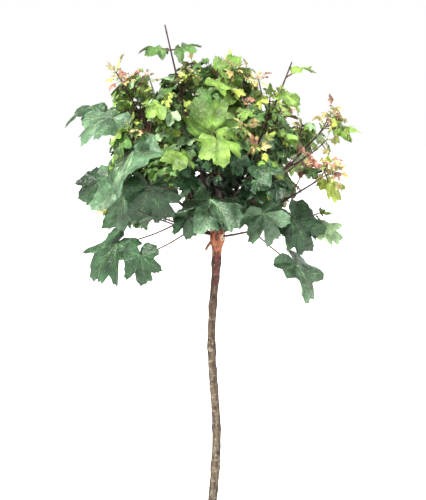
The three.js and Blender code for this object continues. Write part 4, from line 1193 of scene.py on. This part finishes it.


# Trunk: the solid's own surface on a finer grid, with knots, ring scars and fissured relief

# Knots and drips of wax are rows of height, side in degrees, rise and height of the bell. The painted highlight on
# the wax, a pale patch, is height, side and height of its bell.
trunk = dict(
    rows=420, columns=60, wobble=0.45, settleHeight=12, capRise=0.4,
    ripple=dict(turns=7, pitch=31, height=9, slant=2), fineRipple=dict(share=0.6, turns=13, pitch=17),
    knots=[(930, -90, 1.2, 6), (914, 12, 2.0, 7), (876, -92, 1.1, 5), (760, -20, 1.5, 7), (724, 8, 1.8, 7),
           (646, -100, 1.4, 5), (552, -60, 2.4, 8), (526, -170, 1.8, 8), (470, 20, 1.3, 7), (392, -80, 1.6, 7),
           (330, 150, 1.4, 7), (262, -40, 1.5, 8), (180, 60, 1.3, 8), (120, -120, 1.5, 8)],
    knotWidth=0.5, darkKnotShare=0.5,
    ringScars=[792, 700, 610, 524, 452, 396, 300, 214], scarDepth=0.7, scarHeight=1.6, scarTilt=2,
    darkScarHeight=1.5, brokenScar=-0.3, brokenTurns=5,
    # sideShadeBands: painted shade down the stem's left and right edges as the front view sees them
    sideShadeBands=[(-180, 34), (0, 30)], sideShadeWaves=((0.5, 7, 2.9), (0.3, 23)),
    drips=[(991, -178, 2.6, 11), (993, -4, 2.6, 11), (1008, -60, 2.4, 9), (996, -130, 2.0, 8), (1012, -10, 2.2, 8),
           (990, 40, 1.8, 8), (1004, 120, 2.0, 9), (984, -90, 1.2, 7), (1018, -150, 1.6, 6)],
    crimson=(902, 968), crimsonSide=-82, crimsonHalf=26,
    crimsonWaves=dict(short=2.3, long=5.1, start=2, share=0.6, fine=1.7, turns=3, rise=0.5),
    waxFrom=966, waxEdge=((5, 3, 0.6), (4, 8, 0)),
    # a painted highlight: a pale speckled patch on the front of the graft wax
    paintedHighlightPatch=(999, -42, 8), highlightShare=0.37, highlightSpeckle=(1.7, 9, 0.6),
    stub=dict(points=[(-5, -3, -5), (-15, -4.5, -14), (-23, -6, -27)], radii=(3.7, 2.6), steps=8, sides=10),
)
# The dark slot holds the dark scars and knots and the painted shade down the stem's sides; the pale slot is a painted
# highlight on the graft wax.
barkSlot, darkMarkAndShadeSlot, crimsonSlot, waxSlot, stubSlot, highlightSlot = range(6)  # the trunk's materials, in order


def trunkSurface(plan):
    # height × angle grid: the solid's radius, plus bells for knots and wax, less narrow rings, plus fine rippling
    rows, columns = plan["rows"], plan["columns"]
    height = stem["topHeight"] * np.linspace(0, 1, rows)[:, None]
    angle = 2 * math.pi * np.arange(columns)[None] / columns
    radius = stemRadius(height, angle)
    for at, side, rise, tall in plan["knots"] + plan["drips"]:
        radius = radius + rise * bellRound(height, angle, at, side, tall)
    for at in plan["ringScars"]:
        radius = radius - plan["scarDepth"] * np.exp(-(fromScar(plan, height, angle, at) / plan["scarHeight"]) ** 2)
    wave, fine = plan["ripple"], plan["fineRipple"]
    ripple = np.sin(wave["turns"] * angle + height / wave["pitch"])
    ripple = ripple * np.sin(height / wave["height"] + wave["slant"] * np.cos(angle))
    ripple = ripple + fine["share"] * np.sin(fine["turns"] * angle - height / fine["pitch"])
    radius = radius + plan["wobble"] * ripple * np.clip(height / plan["settleHeight"], 0, 1)
    out = np.stack([np.cos(angle) * radius, np.sin(angle) * radius, np.zeros_like(radius)], -1)
    points = stemCentre(height[:, 0])[:, None] + out
    ends = np.array([stemCentre(0.0), stemCentre(stem["topHeight"]) + up * plan["capRise"]])
    points = np.vstack([points.reshape(-1, 3), ends])
    ring = np.arange(columns)
    base, top = fanFaces(rows * columns, ring)[:, ::-1], fanFaces(rows * columns + 1, ring + (rows - 1) * columns)
    faces, tint = gridFaces(rows, columns), trunkTint(plan, height[:-1] + height[1] / 2, angle).ravel()
    groups = [(faces[tint == slot], slot) for slot in (barkSlot, darkMarkAndShadeSlot, crimsonSlot, waxSlot, highlightSlot)]
    groups += [(base, barkSlot), (top, waxSlot)]
    return [(points, *groups[0], None)] + [(nothing, group - len(points), slot, None) for group, slot in groups[1:]]


def bellRound(height, angle, at, side, tall):
    # a bell in height and in angle round a place on the stem
    apart = (angle - math.radians(side) + math.pi) % (2 * math.pi) - math.pi
    return np.exp(-((height - at) / tall) ** 2 - (apart / trunk["knotWidth"]) ** 2)


def fromScar(plan, height, angle, at):
    # how far above a ring scar, whose ring is tilted by a sine round the stem
    return height - at - plan["scarTilt"] * np.sin(angle)


def awayFrom(side, angle):
    # degrees round the stem from a side
    return np.abs((np.degrees(angle) - side + 180) % 360 - 180)


def trunkTint(plan, height, angle):
    # dark in the scars and the knots, painted shade down the two sides that are the stem's edges from the front,
    # crimson down the front of the neck, wax on the graft with a painted highlight as a pale patch in it, and bark
    # elsewhere, each with a ragged edge of sines in height and angle
    dark = np.zeros(np.broadcast(height, angle).shape, bool)
    for at, side, _, tall in plan["knots"]:
        dark |= bellRound(height, angle, at, side, tall) > 1 - plan["darkKnotShare"]
    for at in plan["ringScars"]:
        line = np.abs(fromScar(plan, height, angle, at)) < plan["darkScarHeight"]
        dark |= line & (np.sin(plan["brokenTurns"] * angle + at) > plan["brokenScar"])
    (share, long, short), (slowShare, slow) = plan["sideShadeWaves"]
    # painted shade: dark bands down the left and right edges that the front view sees
    for side, half in plan["sideShadeBands"]:
        wander = share * np.sin(height / long + side) * np.sin(height / short) + slowShare * np.sin(height / slow)
        dark |= awayFrom(side, angle) < half * (1 + wander)
    wave, (low, high) = plan["crimsonWaves"], plan["crimson"]
    ragged = np.sin(height / wave["short"]) * np.sin(height / wave["long"] + wave["start"])
    ragged = ragged + wave["share"] * np.sin(height / wave["fine"] + wave["turns"] * angle)
    crimson = awayFrom(plan["crimsonSide"], angle) < plan["crimsonHalf"] * (1 + wave["rise"] * ragged)
    crimson &= (height > low) & (height < high)
    wax = height > plan["waxFrom"] + sum(rise * np.sin(turns * angle + start)
                                         for rise, turns, start in plan["waxEdge"])
    # painted highlight on the graft wax, broken into specks
    along, across, most = plan["highlightSpeckle"]
    pale = bellRound(height, angle, *plan["paintedHighlightPatch"]) > plan["highlightShare"]
    pale &= np.sin(height * along) * np.sin(across * angle) < most
    slots = np.where(crimson, crimsonSlot, np.where(dark, darkMarkAndShadeSlot, barkSlot))
    return np.where(pale, highlightSlot, np.where(wax, waxSlot, slots))


def stubSheets(plan):
    # the short dried stub below the graft, as a bent tube
    middle = quadraticThrough(headCentre + np.array(plan["points"], float), np.linspace(0, 1, plan["steps"]))
    return [(points, faces, stubSlot, None) for points, faces, _, _ in
            tubes([middle], [np.linspace(*plan["radii"], plan["steps"])], plan["sides"])]


# Limbs: boughs, shoots, twigs, sprigs, spurs and stalks as tubes

limbLooks = dict(
    lowShare=0.62, lowBelow=30, nodeSpacing=34, nodeRise=0.2, nodeWidth=2.6, seam=0.004, boughSteps=16,
    shootSteps=44, twigSteps=14, sides=dict(bough=10, shoot=8, twig=7, sprig=5, spur=8, stalk=5),
)


def nodeSwelling(paths, widths):
    # thicker by a bell at every node along the limb
    along = np.concatenate([[0], np.cumsum(np.linalg.norm(np.diff(paths, axis=0), axis=1))])
    apart = (along + limbLooks["nodeSpacing"] / 2) % limbLooks["nodeSpacing"] - limbLooks["nodeSpacing"] / 2
    return widths * (1 + limbLooks["nodeRise"] * np.exp(-(apart / limbLooks["nodeWidth"]) ** 2))


def quadraticThrough(points, share):
    # the curve through three points: each point times its own second-power weight
    s = share[:, None]
    return (1 - s) * (1 - 2 * s) * points[0] + 4 * s * (1 - s) * points[1] + s * (2 * s - 1) * points[2]


def limbTubes():
    # boughs and shoots by the source's curves, the level ones more slender
    steps, paths, widths = limbLooks["boughSteps"], ([], []), ([], [])
    for at, _ in curves:
        path = at(np.linspace(0, bough["endShare"] + limbLooks["seam"], steps))
        slender = limbLooks["lowShare"] if abs(path[-1][2] - headCentre[2]) < limbLooks["lowBelow"] else 1
        paths[0].append(path)
        widths[0].append(nodeSwelling(path, slender * np.linspace(bough["footRadius"], shoot["footRadius"], steps)))
        share = np.linspace(bough["endShare"], 1, limbLooks["shootSteps"])
        width = mix(slender * shoot["footRadius"], shoot["tipRadius"], (share - share[0]) / (1 - share[0]))
        paths[1].append(at(share))
        widths[1].append(nodeSwelling(at(share), width))
    sides = (limbLooks["sides"]["bough"], limbLooks["sides"]["shoot"])
    return [tubes(*parts) for parts in zip(paths, widths, sides)]


def twigTubes():
    paths, widths, share = [], [], np.linspace(0, 1, limbLooks["twigSteps"])
    for mass in masses:
        for axis in mass["axes"][1:]:
            paths.append(quadraticThrough(axis["points"], share))
            widths.append(nodeSwelling(paths[-1], mix(axis["widths"][0], axis["widths"][-1], share)))
    return tubes(paths, widths, limbLooks["sides"]["twig"])


def sprigTubes():
    grown = allOf("sprigs")
    return tubes([one["points"] for one in grown], [one["widths"] for one in grown], limbLooks["sides"]["sprig"])


spurLooks = dict(steps=12, bow=0.06, cutSteps=(-5, 0, 1.6, 2.2), cutWidths=(1.06, 1.1, 1.08, 0.8))


def spurTubes(cut):
    # a spur leaves its shoot and bows a little downwards on its way to the tip
    paths, widths = [], []
    for limb, place, at, radii, tuftPlan in spurs:
        if (tuftPlan is None) == cut:
            root, tip = spurEnds(limb, place, at)
            share = np.linspace(0, 1, spurLooks["steps"])
            bow = spurLooks["bow"] * np.linalg.norm(tip - root)
            paths.append(mix(root, tip, share[:, None]) - up * bow * (4 * share * (1 - share))[:, None])
            widths.append(nodeSwelling(paths[-1], mix(*radii, share)))
    return tubes(paths, widths, limbLooks["sides"]["spur"])


def cutEnds():
    # the pale sawn face of each cut spur: a short disc over its end
    paths, widths = [], []
    for limb, place, at, radii, tuftPlan in spurs:
        if tuftPlan is None:
            root, tip = spurEnds(limb, place, at)
            way = unit(tip - root + up * spurLooks["bow"])
            paths.append(tip + way * np.array(spurLooks["cutSteps"])[:, None])
            widths.append(np.array(spurLooks["cutWidths"]) * radii[1])
    return tubes(paths, widths, limbLooks["sides"]["spur"])


# Stalks: radii at four places along, and how far they sag as a share of their length.
stalkLooks = dict(
    steps=6, places=(0, 0.2, 0.8, 1), first=((1.25, 0.9, 0.75, 1.0), -0.06),
    marked=((2.0, 1.6, 1.4, 1.8), -0.05), later=((0.75, 0.55, 0.5, 0.6), -0.03),
)


def stalkTubes(leaves, look):
    # a stalk from its twig to its blade, sagging a little between, narrowest before the blade
    radii, sag = stalkLooks[look]
    roots, joints = np.array([one["stalk"]["points"] for one in leaves]).transpose(1, 0, 2)[:, :, None]
    share = np.linspace(0, 1, stalkLooks["steps"])[None, :, None]
    reach = np.linalg.norm(joints - roots, axis=2, keepdims=True)
    paths = mix(roots, joints, share) + up * sag * reach * (4 * share * (1 - share))
    widths = np.broadcast_to(np.interp(share[0, :, 0], stalkLooks["places"], radii), paths.shape[:2])
    return tubes(paths, widths, limbLooks["sides"]["stalk"])


# Tints: plain base colours dealt out by spray, from deep below to light at the top and at the tips

tints = dict(
    # shade: a near-black green, painted shade for the leaves in the crown's middle
    shade=dict(upper=(20, 36, 20), under=(36, 52, 32), vein=(50, 74, 44), roughness=0.6),
    deep=dict(upper=(50, 84, 52), under=(104, 130, 94), vein=(138, 170, 120), roughness=0.4),
    # sheen: a paler grey-green that paints the sky's sheen on the leaves' upper sides into their colour
    sheen=dict(upper=(94, 128, 94), under=(130, 154, 120), vein=(180, 204, 160), roughness=0.38),
    middle=dict(upper=(80, 118, 56), under=(122, 150, 98), vein=(150, 182, 110), roughness=0.46),
    fresh=dict(upper=(100, 136, 52), under=(140, 166, 100), vein=(172, 198, 110), roughness=0.5),
    bright=dict(upper=(124, 160, 68), under=(152, 178, 110), vein=(186, 208, 124), roughness=0.46),
    lime=dict(upper=(172, 192, 84), under=(186, 202, 126), vein=(212, 220, 140), roughness=0.5),
    # pale: a pale grey-green, partly the leaves' own lighter green and partly painted highlight
    pale=dict(upper=(168, 206, 148), under=(186, 208, 162), vein=(208, 224, 180), roughness=0.44),
    straw=dict(upper=(222, 208, 140), under=(218, 206, 156), vein=(230, 218, 170), roughness=0.5),
    amber=dict(upper=(190, 168, 104), under=(204, 184, 132), vein=(216, 200, 148), roughness=0.5),
    copper=dict(upper=(176, 124, 104), under=(204, 164, 142), vein=(214, 178, 152), roughness=0.5),
)

# For each level of the crown, by how high its shoot reaches: shares of the tints of its first and smaller leaves.
levels = [
    (105, dict(deep=0.66, sheen=0.2, middle=0.14), dict(deep=0.4, middle=0.4, bright=0.2)),
    (190, dict(deep=0.36, sheen=0.12, middle=0.34, bright=0.18), dict(middle=0.4, bright=0.4, deep=0.2)),
    (280, dict(deep=0.18, middle=0.34, bright=0.3, pale=0.18),
     dict(middle=0.28, bright=0.34, lime=0.18, pale=0.2)),
    (999, dict(middle=0.32, bright=0.36, lime=0.16, pale=0.16),
     dict(bright=0.34, lime=0.26, middle=0.2, pale=0.2)),
]
youngTints = dict(lime=0.4, bright=0.4, straw=0.2)

# A spray of neighbouring leaves has one tint. Leaves near the crown's middle are painted in shade: the shade tint
# within the reach, the deep tint a little further out.
dealing = dict(seed=77000, mass=100, axis=10, spray=4, smallerShift=5, paintedShadeCentre=(0, -10, 108),
               paintedShadeReach=(66, 200, 70), paintedDimReach=1.4, largeFrom=52)


def dealTints():
    groups = {name: dict(large=[], plain=[], small=[], young=[]) for name in tints}
    for mass in masses:
        top = limbs[mass["name"]]["tip"][2]
        first, later = next((a, b) for level, a, b in levels if top < level)
        tips = tuftTints["copper"] if mass["name"] in copperLimbs else youngTints
        for kind, leaves, shares in (("plain", mass["leaves"], first), ("small", mass["sprigLeaves"], later),
                                     ("young", mass["youngLeaves"], tips)):
            seed = dealing["seed"] + dealing["mass"] * mass["index"]
            seed += dealing["smallerShift"] if kind == "small" else 0
            for k, one in enumerate(leaves):
                spray = dealing["axis"] * one["axis"] + k // dealing["spray"]
                name = one.get("tint") or dealt(shares, drawFrom(seed + spray)())
                blade = one["blade"]
                middle = blade["joint"] + blade["along"] * blade["size"] / 2 - headCentre
                intoPaintedShade = np.linalg.norm((middle - dealing["paintedShadeCentre"]) / dealing["paintedShadeReach"])
                # painted shade: leaves in the crown's middle get the shade tint, those a little further out the deep
                # tint
                if not one.get("marked") and intoPaintedShade < dealing["paintedDimReach"]:
                    name = "shade" if intoPaintedShade < 1 else "deep"
                large = one.get("marked") or (blade["size"] > dealing["largeFrom"] and blade["joint"][1] < 0)
                groups[name]["large" if kind == "plain" and large else kind].append(one)
    return groups


# The trunk's own materials: places up the stem with their colours, then flecks

trunkTints = dict(
    stops=[(0.0, (78, 68, 54)), (0.3, (98, 86, 70)), (0.55, (108, 94, 76)), (0.72, (98, 82, 64)),
           (0.86, (88, 64, 48)), (0.93, (92, 60, 44)), (1.0, (100, 60, 44))],
    dark=(44, 34, 28), streakNoise=(170.0, 4.0, 0.6, (1, 1, 0.3)), streaks=(0.46, 0.58, 0.75),
    pale=(168, 154, 134), poreNoise=(150.0, 3.0, 0.5, (0.7, 0.7, 1.2)), pores=(0.55, 0.66, 0.55),
    roughness=0.72, grainNoise=(260.0, 6.0, 0.65, (1, 1, 0.25)), bump=(0.7, 0.002),
)


def trunkMaterial(plan):
    # tint by height, streaked lengthwise and flecked with pale breathing pores
    material, tree, shader = startMaterial("stemBark")
    place = addNode(tree, "ShaderNodeTexCoord").outputs["Object"]
    split = addNode(tree, "ShaderNodeSeparateXYZ", Vector=place)
    height = addNode(tree, "ShaderNodeMath", dict(operation="MULTIPLY"), input0=split.outputs["Z"],
                     input1=1 / (stem["topHeight"] * mm))
    colour = ramp(tree, height.outputs[0], plan["stops"])
    for noise, band, tint in (("streakNoise", "streaks", "dark"), ("poreNoise", "pores", "pale")):
        low, high, most = plan[band]
        value = objectNoise(tree, *plan[noise]).outputs["Fac"]
        share = addNode(tree, "ShaderNodeMapRange", Value=value, input1=low, input2=high, input4=most)
        colour = mixed(tree, share.outputs[0], colour, linear(plan[tint]))
    tree.links.new(colour, shader.inputs["Base Color"])
    shader.inputs["Roughness"].default_value = plan["roughness"]
    bumped(tree, shader, objectNoise(tree, *plan["grainNoise"]).outputs["Fac"], *plan["bump"])
    return material


patchLooks = dict(detail=4.0, roughness=0.6, places=(0.42, 0.58), bump=(0.6, 0.002))


def patchedMaterial(name, dark, light, roughness, scale):
    # soft patches from the dark to the light tint, with relief
    material, tree, shader = startMaterial(name)
    patches = objectNoise(tree, scale, patchLooks["detail"], patchLooks["roughness"])
    tint = ramp(tree, patches.outputs["Fac"], list(zip(patchLooks["places"], (dark, light))))
    tree.links.new(tint, shader.inputs["Base Color"])
    shader.inputs["Roughness"].default_value = roughness
    bumped(tree, shader, patches.outputs["Fac"], *patchLooks["bump"])
    return material


# Putting the pieces together

foliageNodes = [name for name in sorted(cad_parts) if name.startswith("foliage")]
boughNodes = [name for name in sorted(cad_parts) if name.startswith("bough")]

trunkMaterials = [
    trunkMaterial(trunkTints),
    # dark scars and knots, and the painted shade down the stem's sides
    patchedMaterial("scarBarkAndSideShade", (42, 32, 26), (78, 62, 50), 0.8, 200.0),
    patchedMaterial("crimsonBark", (72, 28, 24), (126, 52, 42), 0.45, 130.0),
    patchedMaterial("graftWax", (94, 40, 24), (188, 106, 66), 0.35, 95.0),
    patchedMaterial("driedWood", (120, 76, 56), (190, 142, 112), 0.7, 220.0),
    # painted highlight on the graft wax
    patchedMaterial("waxHighlight", (150, 112, 84), (226, 206, 176), 0.4, 190.0),
]
makePiece("stemBark", trunkSurface(trunk) + stubSheets(trunk["stub"]), trunkMaterials, ["trunk"])
print("trunk is made")

shootBark = shootMaterial("shootBark", (66, 38, 40), (128, 92, 84))
twigBark = shootMaterial("twigBark", (92, 48, 44), (150, 104, 84))
sawnWood = shootMaterial("sawnWood", (150, 140, 124), (186, 176, 156), 0.7)
boughTubes, shootTubes = limbTubes()
makePiece("boughs", boughTubes, [shootBark], boughNodes)
makePiece("shoots", shootTubes + spurTubes(True) + spurTubes(False), [shootBark], foliageNodes)
makePiece("twigs", twigTubes(), [twigBark], foliageNodes)
makePiece("sprigs", sprigTubes(), [twigBark], foliageNodes)
makePiece("cutEnds", cutEnds(), [sawnWood], foliageNodes)
print("limbs are made")

stalkGreen = shootMaterial("stalkGreen", (150, 160, 96), (178, 150, 110))
stalkRed = shootMaterial("stalkRed", (92, 46, 40), (140, 88, 68))
firstLeaves = [one for one in allOf("leaves") if not one.get("marked")]
laterLeaves = [one for mass in masses for one in mass["sprigLeaves"] + mass["youngLeaves"]]
greenStalks = stalkTubes(firstLeaves[::2], "first") + stalkTubes(laterLeaves, "later")
redStalks = stalkTubes(firstLeaves[1::2], "first") + stalkTubes(markedOnes, "marked")
makePiece("stalks", greenStalks, [stalkGreen], foliageNodes)
makePiece("redStalks", redStalks, [stalkRed], foliageNodes)

groups = dealTints()
for tint, kinds in groups.items():
    look, sheets, veins = tints[tint], [], []
    for kind, leaves in kinds.items():
        if leaves:
            sheets += bladeSheets(leaves, kind)
        if leaves and kind in ("large", "plain"):
            veins += veinSheets(leaves, kind, kind == "large")
    if not sheets:
        continue
    name = tint.capitalize()
    upper = leafMaterial("leaf" + name, look["upper"], look["roughness"])
    under = leafMaterial("underleaf" + name, look["under"], 0.6)
    makePiece("leaves" + name, sheets, [upper, under], foliageNodes)
    if veins:
        makePiece("veins" + name, veins, [leafMaterial("vein" + name, look["vein"], 0.5)], foliageNodes)
    print("leaves", tint, {kind: len(leaves) for kind, leaves in kinds.items() if leaves})
